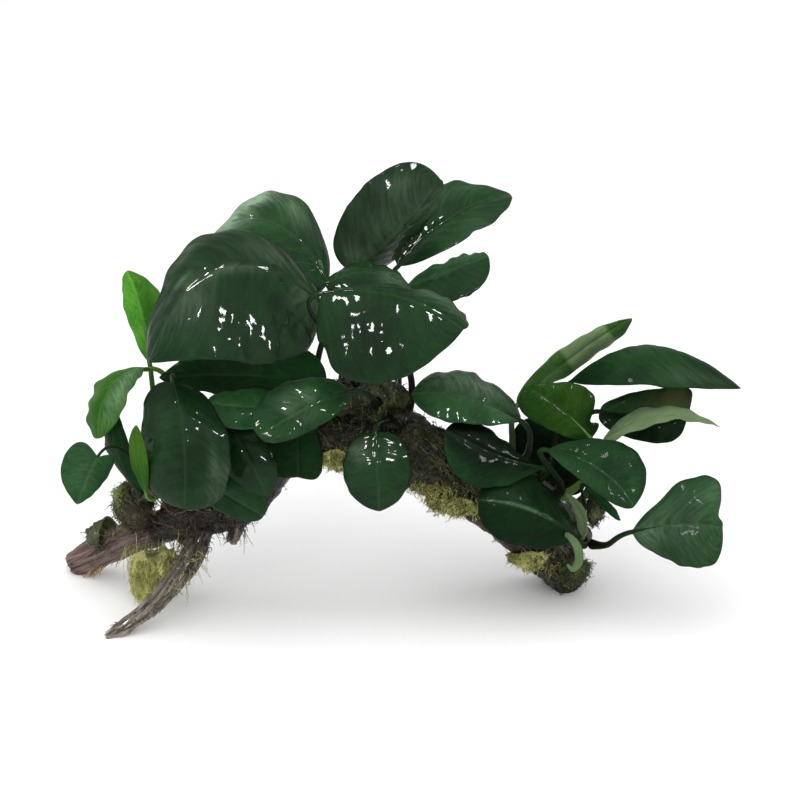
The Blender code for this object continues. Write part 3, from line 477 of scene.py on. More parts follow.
# Lamps: place and aim in m, side in m, and power in W. only: diffuse for soft light without glints,
# glossy for glints alone. spread: the angle in degrees that a narrow one fans out over.
LAMPS = {
    "overhead": dict(place=(0.0, -0.40, 1.45), aim=(0, 0, 0.05), side=2.0, power=26, only="diffuse"),
    "low_left": dict(place=(-0.36, -0.42, 0.12), aim=(-0.112, -0.035, 0.025), side=0.06, power=0.03,
                     only="diffuse", spread=40),
    "glint_left": dict(place=(-0.60, -0.38, 1.40), aim=(0, 0, 0.1), side=0.20, power=18, only="glossy"),
    "glint_middle": dict(place=(-0.25, -1.05, 1.03), aim=(0, 0, 0.1), side=0.15, power=11, only="glossy"),
    "glint_right": dict(place=(0.50, -0.55, 1.30), aim=(0, 0, 0.1),
                        side=0.16, power=12, only="glossy"),
    "glint_far_right": dict(place=(1.08, -0.36, 0.87), aim=(0, 0, 0.1),
                            side=0.18, power=15, only="glossy"),
}
WORLD_COLOUR = (1.0, 1.0, 1.0, 1.0)
WORLD_STRENGTH = 0.68


def seen(across, up, back):
    """Place in mm of a point that shows at across, up and stands at back."""
    rise = up / VIEW_DISTANCE
    height = (up - back * (SEEN_UP[1] + rise * TOWARDS_EYE[1])) / (SEEN_UP[2] + rise * TOWARDS_EYE[2])
    nearness = back * TOWARDS_EYE[1] + height * TOWARDS_EYE[2]
    x = across * (1 - nearness / VIEW_DISTANCE)
    return np.array([x - CENTRE_SHIFT[0], back - CENTRE_SHIFT[1], height + VIEW_CENTRE_HEIGHT])


def unit(vector):
    """The same direction with a length of 1, for one vector or for rows of them."""
    return vector / np.maximum(np.linalg.norm(vector, axis=-1, keepdims=True), 1e-12)


def smooth_line(points, count):
    """count places along a smooth curve through the given ones, all columns alike."""
    points = np.array(points, float)
    result = []
    for spot in np.linspace(0, len(points) - 1, count):
        i = min(int(spot), len(points) - 2)
        t = spot - i
        before = points[max(i - 1, 0)]
        start, end = points[i], points[i + 1]
        after = points[min(i + 2, len(points) - 1)]
        result.append(0.5 * (2 * start + (end - before) * t
                             + (2 * before - 5 * start + 4 * end - after) * t ** 2
                             + (3 * start - before - 3 * end + after) * t ** 3))
    return np.array(result)


def bezier(handles, t):
    """Places at t, from 0 to 1, along the curve that four handles give."""
    a, b, c, d = handles
    t = np.asarray(t, float)[..., None]
    return a * (1 - t) ** 3 + b * 3 * t * (1 - t) ** 2 + c * 3 * t ** 2 * (1 - t) + d * t ** 3


def run_along(line):
    """How far each place of a line lies from its start, measured along it."""
    return np.concatenate([[0], np.cumsum(np.linalg.norm(np.diff(line, axis=0), axis=1))])


def frames_along(line):
    """Unit vectors side, over and along for each place of a line, turning as little as they can."""
    tangents = unit(np.gradient(line, axis=0))
    side = unit(np.cross(tangents[0], TOWARDS_EYE))
    sides = []
    for tangent in tangents:
        side = unit(side - (side @ tangent) * tangent)
        sides.append(side)
    sides = np.array(sides)
    return sides, np.cross(tangents, sides), tangents


def noise_at(places, size, seed=0.0):
    """Smooth noise from -1 to 1 at each place, with lumps of about the given size in mm."""
    return np.array([noise.noise(Vector(place)) for place in places / size + seed * NOISE_STRIDE])


class Piece:
    """Gathers vertices, faces and the facts of each vertex for one mesh."""

    def __init__(self, *facts):
        self.places = []
        self.faces = []
        self.facts = {name: [] for name in facts}
        self.count = 0

    def add(self, places, faces, **facts):
        """A form: its faces count its places from 0, and a fact is one row, or one for each place."""
        self.places.append(places)
        self.faces.extend([i + self.count for i in face] for face in faces)
        for name, rows in self.facts.items():
            rows.append(np.broadcast_to(np.asarray(facts[name], float), (len(places), 3)))
        self.count += len(places)

    def make(self, name, finish):
        """The object in metres; nothing of it reaches below the ground."""
        mesh = bpy.data.meshes.new(name)
        places = np.concatenate(self.places) * MM
        places[:, 2] = np.maximum(places[:, 2], 0)
        mesh.from_pydata(places.tolist(), [], self.faces)
        for fact, rows in self.facts.items():
            values = mesh.attributes.new(fact, "FLOAT_VECTOR", "POINT")
            values.data.foreach_set("vector", np.concatenate(rows).astype(np.float32).ravel())
        mesh.polygons.foreach_set("use_smooth", [True] * len(mesh.polygons))
        mesh.update()
        obj = bpy.data.objects.new(name, mesh)
        bpy.context.scene.collection.objects.link(obj)
        obj.data.materials.append(finish)
        return obj


def turns(sides):
    """Angles of the places of a ring."""
    return np.linspace(0, 2 * math.pi, sides, endpoint=False)


def outward(side, over, angle):
    """For each place of a line, the directions at each angle round it."""
    return np.cos(angle)[None, :, None] * side[:, None] + np.sin(angle)[None, :, None] * over[:, None]


def tube(line, radii, sides):
    """Rings of places round a line, with a radius for each ring or for each place."""
    side, over, _ = frames_along(line)
    return line[:, None] + outward(side, over, turns(sides)) * np.reshape(radii, (len(line), -1, 1))


def capped(rings, start, end):
    """Places and faces of rings of places, closed at both ends by fans onto one place each."""
    count, sides = rings.shape[:2]
    places = np.concatenate([rings.reshape(-1, 3), [start], [end]])
    i, j = np.meshgrid(np.arange(count - 1), np.arange(sides), indexing="ij")
    here = i * sides + j
    beside = i * sides + (j + 1) % sides
    faces = np.stack([here, beside, beside + sides, here + sides], -1).reshape(-1, 4).tolist()
    top = (count - 1) * sides
    for j in range(sides):
        k = (j + 1) % sides
        faces.append([k, j, len(places) - 2])
        faces.append([top + j, top + k, len(places) - 1])
    return places, faces


def with_ends(rows, ends=None):
    """Rows for the places of rings, and for the two places that close them, like the first and last."""
    return np.concatenate([rows, rows[[0, -1]] if ends is None else ends])


def add_tube(piece, line, radii, sides, **facts):
    """A tube that ends in a point at both ends; a fact is one row, or one for each place of the line."""
    places, faces = capped(tube(line, radii, sides), line[0], line[-1])
    for name, rows in facts.items():
        if np.ndim(rows) == 2:
            facts[name] = with_ends(np.repeat(rows, sides, axis=0))
    piece.add(places, faces, **facts)


def fullness(t, foot, tip):
    """Share of the widest half width at t along a blade: 0 at both ends, 1 at the widest."""
    widest = foot / (foot + tip)
    return t ** foot * (1 - t) ** tip / (widest ** foot * (1 - widest) ** tip)


class Blade:
    """The middle surface of a leaf blade, from its five places, for arrays of s and t."""

    def __init__(self, rib, wide, low, high, lobes=0.25, crown=0.12, fan=(0.0, 0.0), **_):
        self.foot, middle, self.tip = (seen(*p) for p in rib)
        self.bend = 2 * middle - (self.foot + self.tip) / 2
        self.fullness = (low, high)
        self.lobes = lobes
        self.crown = crown
        self.fan = fan
        self.widest = [foot / (foot + tip) for foot, tip in (low, high)]
        self.halves = [seen(*p) - self.rib(t) for p, t in zip(wide, self.widest)]
        self.normal = unit(np.cross(self.tip - self.foot, self.halves[1] - self.halves[0]))
        if self.normal @ TOWARDS_EYE < 0:
            self.normal = -self.normal

    def rib(self, t):
        """Places on the midrib, at 0 the foot and at 1 the tip."""
        t = np.asarray(t, float)[..., None]
        return self.foot * (1 - t) ** 2 + self.bend * 2 * t * (1 - t) + self.tip * t ** 2

    def along(self, t):
        """Directions of the midrib towards the tip."""
        t = np.asarray(t, float)[..., None]
        return unit((self.bend - self.foot) * (1 - t) + (self.tip - self.bend) * t)

    def side(self, upper, t):
        """From the midrib to the widest margin, turned with the midrib where the blade fans out."""
        side = self.halves[upper]
        along, there = self.along(t), self.along(self.widest[upper])
        turned = side - self.fan[upper] * (along @ side - there @ side)[..., None] * along
        return unit(turned) * np.linalg.norm(side)

    def reach(self, s, t):
        """Half width in mm at t, on the side of s, before any notch."""
        low, high = (np.linalg.norm(half) * fullness(t, *full)
                     for half, full in zip(self.halves, self.fullness))
        return np.where(s > 0, high, low)

    def surface(self, s, t, trim):
        """s runs from -1 on one margin over 0 on the midrib to 1 on the other; trim scales the width."""
        side = unit(np.where((s > 0)[..., None], self.side(1, t), self.side(0, t)))
        width = self.reach(s, t) * np.abs(s) * trim
        crown = self.crown * width * (1 - np.abs(s)) * 2
        swept = self.lobes * width * np.abs(s) ** 0.5 * (1 - t) ** 3
        return (self.rib(t) + side * width[..., None] + self.normal * crown[..., None]
                - self.along(t) * swept[..., None])


def surface_normals(grid):
    """Unit normals of a grid of places, on the side towards the eye."""
    out = unit(np.cross(np.gradient(grid, axis=0), np.gradient(grid, axis=1)))
    if (out @ TOWARDS_EYE).mean() < 0:
        out = -out
    return out


def round_margin(upper, lower):
    """A blade's columns on its upper side, then those on its lower side back to the first margin."""
    return np.concatenate([upper, lower[:, -2:0:-1]], axis=1)


def margin_trim(look, seed, s, t):
    """Share of its width that each place of a blade keeps, less at notches, slightly uneven."""
    trim = np.ones_like(s)
    for side, place, depth, width in look.get("notches", ()):
        trim -= depth * np.exp(-((t - place) / width) ** 2) * (s * side > 0)
    spots = np.stack([t * MARGIN_RUN, np.sign(s) * MARGINS_APART, 0 * t], -1).reshape(-1, 3)
    return trim * (1 + MARGIN_UNEVEN * noise_at(spots, MARGIN_SIZE, seed).reshape(t.shape))


def blade_relief(look, seed, large, grid, across, veins, s, t):
    """How far each place of a blade lies over its even middle surface, in mm."""
    ends = np.sin(math.pi * t) ** 0.5
    waves = 2 * math.pi * look.get("ripples", RIPPLES) * t
    ripple = look.get("ripple", RIPPLE) * np.abs(s) ** 2.5 * ends * (
        0.6 * np.sin(waves + 2.1 * np.sign(s) + seed)
        + 0.6 * np.sin(1.7 * waves * (0.8 + 0.4 * t) + 0.9 * np.sign(s) + 2.3 * seed))
    quilt = look.get("quilt", QUILT) * (0.5 - 0.5 * np.cos(2 * math.pi * veins)) * (1 - np.abs(s) ** 4)
    quilt *= 1 - np.exp(-(across / QUILT_START) ** 2)
    groove = -GROOVE_DEPTH * np.exp(-(across / GROOVE_HALF) ** 2)
    places = grid.reshape(-1, 3)
    sag = SAG * noise_at(places, SAG_SIZES[large], seed).reshape(t.shape)
    crumple = CRUMPLE * noise_at(places, CRUMPLE_SIZE, seed + 40).reshape(t.shape)
    return ripple + (quilt + groove + sag + crumple) * ends


def leaf(name, values, finishes):
    """One leaf: a thin rippled blade with its midrib and side veins, and its stalk."""
    blade = Blade(**values)
    look = LOOKS[name]
    seed = 1.0 + list(LEAVES).index(name)
    large = name in LARGE_LEAVES
    rows, columns = GRIDS[large]
    turn = np.linspace(0, math.pi, rows + 2)[1:-1]
    t, s = np.meshgrid(0.5 - 0.5 * np.cos(turn), np.linspace(-1, 1, columns), indexing="ij")
    trim = margin_trim(look, seed, s, t)
    grid = blade.surface(s, t, trim)
    out = surface_normals(grid)
    across = np.abs(s) * blade.reach(s, t) * trim
    veins = VEIN_PAIRS * (t - VEIN_SWEEP * np.abs(s) ** 1.5) + VEIN_LAG * (s > 0)
    middle = grid + out * blade_relief(look, seed, large, grid, across, veins, s, t)[..., None]
    thickness = 1 - (1 - THIN_MARGIN) * np.abs(s) ** 3
    thickness *= THIN_END + (1 - THIN_END) * np.sin(math.pi * t) ** 0.5
    half = (BLADE_HALF * thickness)[..., None]
    loop = round_margin(middle + out * half, middle - out * half)

    beneath = round_margin(0 * s, np.ones_like(s))
    beneath[:, 0] = beneath[:, columns - 1] = MARGIN_BENEATH
    if "underside" in look:
        first, last = look["underside"]
        reached = round_margin(t, t)
        beneath = np.where((reached > first) & (reached < last), 1.0, beneath)
    phase, side, share, away = (round_margin(each, each).ravel() for each in (veins, s, t, across))
    piece = Piece("leaf_place", "leaf_facts", "leaf_mood")
    piece.add(*capped(loop, blade.foot, blade.tip),
              leaf_place=with_ends(np.stack([phase, side, share], -1), [[0.5, 0, 0], [0.5, 0, 1]]),
              leaf_facts=with_ends(np.stack([away, beneath.ravel(), 0 * away], -1)),
              leaf_mood=with_ends(leaf_moods(look, side, share)))
    add_stalk(piece, blade, values, middle, out, t)
    finish = look.get("finish", "dark")
    obj = piece.make(name.replace("leaf_", "") + "_leaf", finishes[finish])
    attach(obj, "root")
    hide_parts(name)


def leaf_moods(look, s, t):
    """Painted sheen, lightness with painted light and shade, and olive of each place of a blade."""
    low, high = np.broadcast_to(look.get("tone", 1.0), 2)
    # the tones of the two halves paint light and shade on a blade folded along its midrib
    tone = low + (high - low) * np.clip(s / 0.16 + 0.5, 0, 1)
    pale, olive = np.zeros_like(s), np.zeros_like(s)
    # pale patches are painted sheen, dark ones painted shade
    for patch in look.get("patches", ()):
        here = soft_patch(patch, s, t)
        if patch[-1] > 0:
            pale = pale + here
        else:
            tone = tone * (1 + here)
    if "olive" in look:
        olive = soft_patch(look["olive"], s, t)
    return np.stack([np.clip(pale, 0, 1), tone, olive], -1)


def soft_patch(patch, s, t):
    """Strength of a patch at each place, fading outwards."""
    across, along, wide, long, strength = patch
    return strength * np.exp(-((s - across) / wide) ** 2 - ((t - along) / long) ** 2)


def stalk_start(stem, towards):
    """Place on a rhizome's skin on the side of the leaf, and the direction out of it."""
    name, share = stem
    line = smooth_line([seen(*p) for p in RHIZOMES[name]], STEM_STEPS + 1)
    i = round(share * STEM_STEPS)
    tangent = unit(line[min(i + 1, STEM_STEPS)] - line[max(i - 1, 0)])
    reach = towards - line[i]
    out = unit(reach - (reach @ tangent) * tangent)
    return line[i] + out * RHIZOME_RADIUS, out


def add_stalk(piece, blade, values, middle, out, t):
    """The stalk, which runs on under the blade as its midrib."""
    radius = PETIOLE_RADIUS * (SMALL_STALK if values.get("small") else 1.0)
    start, away = stalk_start(values["stem"], blade.foot)
    length = np.linalg.norm(blade.foot - start)
    handles = (start, start + away * 0.4 * length,
               blade.foot - blade.along(0.0) * 0.35 * length, blade.foot)
    shares = np.linspace(0, 0.97, STALK_PLACES)
    stalk = np.concatenate([[start - away * STALK_ROOT], bezier(handles, shares)])
    shares = np.concatenate([[0], shares])
    swollen = 1 + STALK_SWELL * np.exp(-shares * length / STALK_SWELL_RUN)
    rib_rows = np.arange(4, int(len(t) * 0.8), 3)
    middle_column = t.shape[1] // 2
    rib = middle[rib_rows, middle_column] - out[rib_rows, middle_column] * RIB_DROP
    rib_share = t[rib_rows, 0]
    radii = np.concatenate([radius * (1 - STALK_TAPER * shares) * swollen,
                            radius * RIB_RADIUS * (1 - rib_share) ** 0.8 + RIB_TIP])
    stalkness = np.concatenate([1 - 0.6 * shares ** 2, 0.6 * (1 - rib_share)])
    beneath = np.concatenate([0 * shares, 1 + 0 * rib_share])
    along = np.concatenate([0 * shares, rib_share])
    add_tube(piece, np.concatenate([stalk, rib]), radii, STALK_SIDES,
             leaf_place=np.stack([0 * along + 0.5, 0 * along, along], -1),
             leaf_facts=np.stack([0 * stalkness, beneath, stalkness], -1), leaf_mood=PLAIN_MOOD)


def rhizome(name, finish):
    """A creeping stem with the rings that shed leaves left on it."""
    handles = [seen(*p) for p in RHIZOMES[name]]
    count = STEM_RINGS * (len(handles) - 1)
    line = smooth_line(handles, count)
    run = run_along(line)
    angle = turns(STEM_SIDES)
    phase = run / RING_SPACING
    ring = np.exp(-((phase - np.round(phase)) * RING_SPACING / RING_HALF) ** 2)
    swell = 1 + RING_SWELL * np.cos(2 * math.pi * phase) - RING_SWELL * ring
    from_tip = np.minimum(run, run[-1] - run) / STEM_TIP_RUN
    taper = np.minimum(1.0, STEM_TIP + (1 - STEM_TIP) * from_tip)
    marks = np.stack(np.broadcast_arrays(run[:, None], np.cos(angle) * RHIZOME_RADIUS,
                                         np.sin(angle) * RHIZOME_RADIUS), -1).reshape(-1, 3)
    lumps = noise_at(marks, 3.0, 3.0).reshape(count, STEM_SIDES)
    fine = noise_at(marks, 1.1, 5.0).reshape(count, STEM_SIDES)
    radii = RHIZOME_RADIUS * STEM_SLIM * (swell * taper)[:, None]
    radii = radii * (1 + STEM_LUMPS * lumps + STEM_ROUGH * fine)
    stem_place = [np.repeat(run, STEM_SIDES), np.tile(angle, count), np.repeat(ring, STEM_SIDES)]
    piece = Piece("stem_place")
    piece.add(*capped(tube(line, radii, STEM_SIDES), line[0], line[-1]),
              stem_place=with_ends(np.stack(stem_place, -1), [[0, 0, 0], [run[-1], 0, 0]]))
    obj = piece.make(name.replace("rhizome_", "") + "_rhizome", finish)
    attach(obj, "root")
    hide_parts(name)
    return obj


class Limb:
    """A limb's centre line, with what is needed to place and shape wood round it."""

    def __init__(self, points, rings, tones):
        self.rings = rings
        self.count = rings * PLACES_PER_RING
        self.tones = np.clip(np.linspace(*tones, self.count), 0, 1)
        line = smooth_line([[*seen(*p[:3]), p[3]] for p in points], self.count)
        self.line, self.radius = line[:, :3], line[:, 3]
        self.sides, self.overs, self.tangents = frames_along(self.line)
        self.run = run_along(self.line)

    def tube(self):
        """Places and faces of the limb with the broad lobes that part.py gives it."""
        angle = turns(LIMB_SIDES)
        i = np.linspace(0, self.rings - 1, self.count)[:, None]
        lobes = 1 + LOBES * (np.sin(3 * angle + 0.35 * i) + 0.7 * np.sin(2 * angle - 0.5 * i))
        out = outward(self.sides, self.overs, angle)
        rings = self.line[:, None] + out * (self.radius[:, None] * lobes)[..., None]
        return capped(rings, self.line[0], self.line[-1])


def remeshed(places, faces, step):
    """The outer skin of overlapping closed forms: places, normals and faces of even size."""
    mesh = bpy.data.meshes.new("rough")
    mesh.from_pydata((places * MM).tolist(), [], faces)
    obj = bpy.data.objects.new("rough", mesh)
    bpy.context.scene.collection.objects.link(obj)
    change = obj.modifiers.new("skin", "REMESH")
    change.mode = "VOXEL"
    change.voxel_size = step * MM
    skin = obj.evaluated_get(bpy.context.evaluated_depsgraph_get()).to_mesh()
    read = {}
    for key in ("co", "normal"):
        flat = np.empty(len(skin.vertices) * 3, np.float32)
        skin.vertices.foreach_get(key, flat)
        read[key] = flat.reshape(-1, 3).astype(float)
    faces = [list(face.vertices) for face in skin.polygons]
    bpy.data.objects.remove(obj, do_unlink=True)
    return read["co"] / MM, read["normal"], faces


def driftwood(finish):
    """All limbs as one skin, furrowed along the grain."""
    limbs = [Limb(*values) for values in LIMBS.values()]
    rough = Piece()
    for limb in limbs:
        rough.add(*limb.tube())
    places, normals, faces = remeshed(np.concatenate(rough.places), rough.faces, WOOD_STEP)

    line, radius, sides, overs, tangents, tones = (
        np.concatenate([getattr(limb, name) for limb in limbs])
        for name in ("line", "radius", "sides", "overs", "tangents", "tones"))
    run = np.concatenate([limb.run + GRAIN_GAP * i for i, limb in enumerate(limbs)])
    nearest = np.empty(len(places), int)
    for first in range(0, len(places), PLACES_AT_ONCE):
        some = slice(first, first + PLACES_AT_ONCE)
        apart = np.linalg.norm(places[some, None] - line[None], axis=-1) - radius
        nearest[some] = apart.argmin(axis=1)
    offset = places - line[nearest]
    along = run[nearest] + (offset * tangents[nearest]).sum(1)
    x = (offset * sides[nearest]).sum(1)
    y = (offset * overs[nearest]).sum(1)

    def fibres(length, width, seed):
        """Noise with lumps of this length along the grain and this width across it, in mm."""
        return noise_at(np.stack([along / length, x / width, y / width], -1), 1.0, seed)

    cracks = np.maximum(0, 1 - np.abs(fibres(45, 3.0, 3.0)) * CRACK_SHARPNESS)
    pits = np.maximum(0, noise_at(places, 2.4, 6.0) - PIT_START)
    coarse = (LUMPS * fibres(20, 7, 1.0) + KNOTS * noise_at(places, 6.0, 2.0)
              - CRACKS * cracks - PITS * pits)
    share = np.clip(radius[nearest] / FULL_RELIEF_RADIUS, LEAST_RELIEF, 1.0)
    relief = coarse * share + GRAIN * fibres(26, 1.2, 4.0) + SHREDS * fibres(9, 0.9, 5.0)
    relief = relief * (1 + GREY_RELIEF * tones[nearest, 1])
    # the third value of the tone marks cracks and pits, which the finish paints dark: painted shade
    piece = Piece("wood_place", "wood_tone", "wood_skin")
    piece.add(places + normals * relief[:, None], faces,
              wood_place=np.stack([along, x, y], -1), wood_skin=normals,
              wood_tone=np.stack([tones[nearest, 0], tones[nearest, 1], cracks + pits], -1))
    obj = piece.make("driftwood", finish)
    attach(obj, "root")
    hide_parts("driftwood_trunk", "driftwood_rear_limb", "driftwood_front_limb")
    return obj


def torn_fibres(name, limb, finish, values):
    """Thin slivers that lie along a limb and lift off it towards its tip."""
    draw = np.random.default_rng(values["seed"])
    piece = Piece("wood_place", "wood_tone", "wood_skin", "strand")
    for _ in range(values["count"]):
        first = int(draw.uniform(*values["stretch"]) * limb.count)
        rows = slice(first, min(first + int(draw.integers(4, 10)), limb.count))
        sides, overs, tangents = limb.sides[rows], limb.overs[rows], limb.tangents[rows]
        share = np.linspace(0, 1, len(sides))
        turn = draw.uniform(0, 2 * math.pi)
        out = math.cos(turn) * sides + math.sin(turn) * overs
        if values["below"]:
            out = unit(DOWN - (tangents @ DOWN)[:, None] * tangents + 0.5 * out)
        height = limb.radius[rows] * SLIVER_SEAT + values["lift"] * draw.random() * share ** 2
        offset = out * height[:, None]
        line = limb.line[rows] + offset + draw.normal(0, SLIVER_SHAKE, out.shape)
        radii = draw.uniform(*SLIVER_RADIUS) * (1.02 - share) ** 0.6
        x = (offset * sides).sum(1) + 5 * draw.random()
        y = (offset * overs).sum(1)
        add_tube(piece, line, radii, SLIVER_SIDES,
                 wood_place=np.stack([limb.run[rows], x, y], -1),
                 wood_tone=np.column_stack([limb.tones[rows], 0 * share]),
                 wood_skin=out, strand=strand_facts(share, draw.random()))
    obj = piece.make(name, finish)
    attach(obj, "root")


def node_shape(name):
    """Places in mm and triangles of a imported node, and a tree for finding its nearest place."""
    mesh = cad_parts[name].data
    mesh.calc_loop_triangles()
    places = np.array([v.co for v in mesh.vertices], float) / MM
    triangles = [list(t.vertices) for t in mesh.loop_triangles]
    return places, triangles, BVHTree.FromPolygons(places.tolist(), triangles)


def tree_of(objects):
    """Tree for finding the nearest place, in mm, on any of the objects."""
    places, faces = [], []
    for obj in objects:
        base = len(places)
        places += [v.co / MM for v in obj.data.vertices]
        faces += [[i + base for i in face.vertices] for face in obj.data.polygons]
    return BVHTree.FromPolygons(places, faces)


def strand_facts(share, tint):
    """Facts of a strand: the share of its length at each place, and how light it is."""
    return np.stack([share, 0 * share + tint, 0 * share], -1)


def moss(name, values, finishes):
    """A matted clump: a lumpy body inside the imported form, with feathery strands over it."""
    places, triangles, form = node_shape(name)
    hang = values["hang"]
    seed = MOSS_SEED + list(MOSS).index(name)
    draw = np.random.default_rng(int(seed))
    places, normals, faces = remeshed(places, triangles, MOSS_STEP)
    hollow, furrow = values.get("dents", DENTS)
    drawn = places * (1, 1, 1 - 0.8 * hang)
    depth = (hollow * (1 + noise_at(drawn, DENT_SIZES[0], seed))
             + furrow * np.abs(noise_at(drawn, DENT_SIZES[1], seed)))
    places = places - normals * depth[:, None]
    tints = moss_tint(places, values, seed)
    piece = Piece("strand")
    # the body's share falls where it is dented deeper, so its hollows and furrows get painted shade
    piece.add(places, faces, strand=strand_facts(1 - depth / depth.max(), tints))
    body = BVHTree.FromPolygons(places.tolist(), faces)
    for i in draw.integers(0, len(places), values["strands"]):
        loose = draw.random() < LOOSE_SHARE
        rise, size = (0.7, 0.7) if loose else (0.2, 1.0)
        scatter = draw.normal(0, 0.6 - 0.35 * hang, 3)
        heading = unit(normals[i] * rise + scatter + DOWN * hang)
        length = draw.uniform(*values["reach"]) * size
        line = strand_line(places[i] - normals[i] * STRAND_ROOT, heading, length, hang, draw)
        if loose:
            line = kept_inside(line, form)
        else:
            line = kept_between(line, body, LEAST_HEIGHT, LYING_HEIGHT)
        add_frond(piece, line, float(np.clip(tints[i] + draw.normal(0, 0.15), 0, 1)), draw)
    obj = piece.make(name.replace("moss_", "") + "_moss", finishes[values["finish"]])
    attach(obj, "root")
    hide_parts(name)
    return obj


def moss_tint(places, values, seed):
    """How light the moss is at each place, 0 to 1, in patches."""
    tint = values.get("tint", 0.5) + 0.8 * noise_at(places, TINT_SIZE, seed + 0.5)
    # brighter along the light axis; on the hanging clump, painted light on its lower end
    if "light" in values:
        axis, start, end, least = values["light"]
        tint = tint * np.clip((places[:, axis] - start) / (end - start), least, 1.3)
    return np.clip(tint, 0, 1)


def strand_line(root, heading, length, hang, draw):
    """A strand that sets out along heading, wanders and bends down as it goes."""
    line = [root]
    step = length / (STRAND_POINTS - 1)
    for _ in range(STRAND_POINTS - 1):
        heading = unit(heading + draw.normal(0, STRAND_WANDER, 3) + DOWN * hang * 0.22)
        line.append(line[-1] + heading * step)
    return np.array(line)


def nearest_on(tree, place):
    """Nearest place of a skin, the normal there, and how far the given place stands off."""
    near, normal, _, _ = tree.find_nearest(Vector(place))
    return near, normal, (Vector(place) - near).dot(normal)


def kept_inside(line, tree):
    """A strand cut short where it passes the clump's form by more than RAGGED."""
    for i, place in enumerate(line):
        if nearest_on(tree, place)[2] > RAGGED:
            if i > 2:
                return smooth_line(line[:i], len(line))
            return line[0] + (line - line[0]) / (len(line) - 1)
    return line


def kept_between(line, tree, least, most):
    """A line brought to at least and at most these heights over what it grows on."""
    result = []
    for place in line:
        near, normal, height = nearest_on(tree, place)
        result.append(np.array(near + normal * min(max(height, least), most)))
    return np.array(result)


def add_frond(piece, line, tint, draw):
    """One strand: a thin stem with pointed leaflets along it on all sides."""
    share = np.linspace(0, 1, len(line))
    radii = STRAND_RADIUS * (1 - 0.6 * share)
    add_tube(piece, line, radii, STRAND_SIDES, strand=strand_facts(share, tint))
    side, over, tangents = frames_along(line)
    spots = np.linspace(*LEAFLETS_ALONG, LEAFLETS)
    index = spots * (len(line) - 1)
    low = np.minimum(index.astype(int), len(line) - 2)
    part = (index - low)[:, None]
    base = line[low] * (1 - part) + line[low + 1] * part
    angle = (np.arange(LEAFLETS) * LEAFLET_TURN + tint * 6)[:, None]
    out = np.cos(angle) * side[low] + np.sin(angle) * over[low]
    length, width = LEAFLET
    scale = (1.0 - 0.4 * spots)[:, None] * draw.uniform(0.7, 1.25, (LEAFLETS, 1))
    tip = base + unit(out + tangents[low] * 0.9) * length * scale
    flank = np.cross(tangents[low], out) * width / 2 * scale
    ridge = base + tangents[low] * width * scale + out * 0.12
    corners = np.stack([base - flank, base + flank, ridge, tip], axis=1).reshape(-1, 3)
    faces = [[4 * leaflet + i for i in face] for face in LEAFLET_FACES for leaflet in range(LEAFLETS)]
    at_tip = np.tile([0, 0, 0, 1.0], LEAFLETS)
    piece.add(corners, faces, strand=np.stack([np.repeat(spots, 4), 0 * at_tip + tint, at_tip], -1))


def mat(name, values, tree, finish, seed):
    """Moss or fibres on bare wood, thickest in the middle of each area; free ones hang down from it."""
    draw = np.random.default_rng(seed)
    free = values.get("free", False)
    hang = FREE_HANG if free else MAT_HANG
    piece = Piece("strand")
    for across, up, wide, tall, count in values["areas"]:
        for _ in range(count):
            found = on_plant(tree, across + draw.normal(0, wide), up + draw.normal(0, tall))
            if found is None:
                continue
            place, normal = found
            heading = unit(normal + draw.normal(0, 0.8, 3) + DOWN * 0.3)
            if free:
                heading = unit(normal * 0.35 + draw.normal(0, 0.3, 3) + DOWN)
            length = draw.uniform(*values.get("reach", MAT_REACH))
            line = strand_line(place - normal * STRAND_ROOT, heading, length, hang, draw)
            if not free:
                line = kept_between(line, tree, LEAST_HEIGHT, MAT_HEIGHT)
            add_frond(piece, line, draw.random(), draw)
    obj = piece.make(name, finish)
    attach(obj, "root")


def on_plant(tree, across, up):
    """Place on the wood, a rhizome or a clump that shows at across, up, and its normal, or None."""
    eye = seen(0, 0, 0) + TOWARDS_EYE * VIEW_DISTANCE
    place, normal, _, _ = tree.ray_cast(Vector(eye), Vector(unit(seen(across, up, 0) - eye)))
    return (np.array(place), np.array(normal)) if place is not None else None


def roots(name, routes, tree, finish, seed):
    """Thin roots that creep over the wood, each along its own wavering copy of a route."""
    draw = np.random.default_rng(seed)
    piece = Piece("strand")
    for route, copies, radius in routes:
        for _ in range(copies):
            spread = draw.normal(0, ROOT_SPREAD, (len(route), 2))
            points = [on_plant(tree, a + da, u + du) for (a, u), (da, du) in zip(route, spread)]
            points = [p + n * radius * 0.6 for p, n in filter(None, points)]
            if len(points) < 2:
                continue
            line = smooth_line(points, ROOT_STEPS * len(points))
            line = line + draw.normal(0, ROOT_SHAKE, line.shape)
            line = kept_between(line, tree, *(radius * share for share in ROOT_HEIGHTS))
            share = np.linspace(0, 1, len(line))
            thick = radius * draw.uniform(0.6, 1.1) * (1 - 0.6 * share)
            add_tube(piece, line, thick, ROOT_SIDES, strand=strand_facts(share, draw.random()))
    obj = piece.make(name, finish)
    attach(obj, "root")


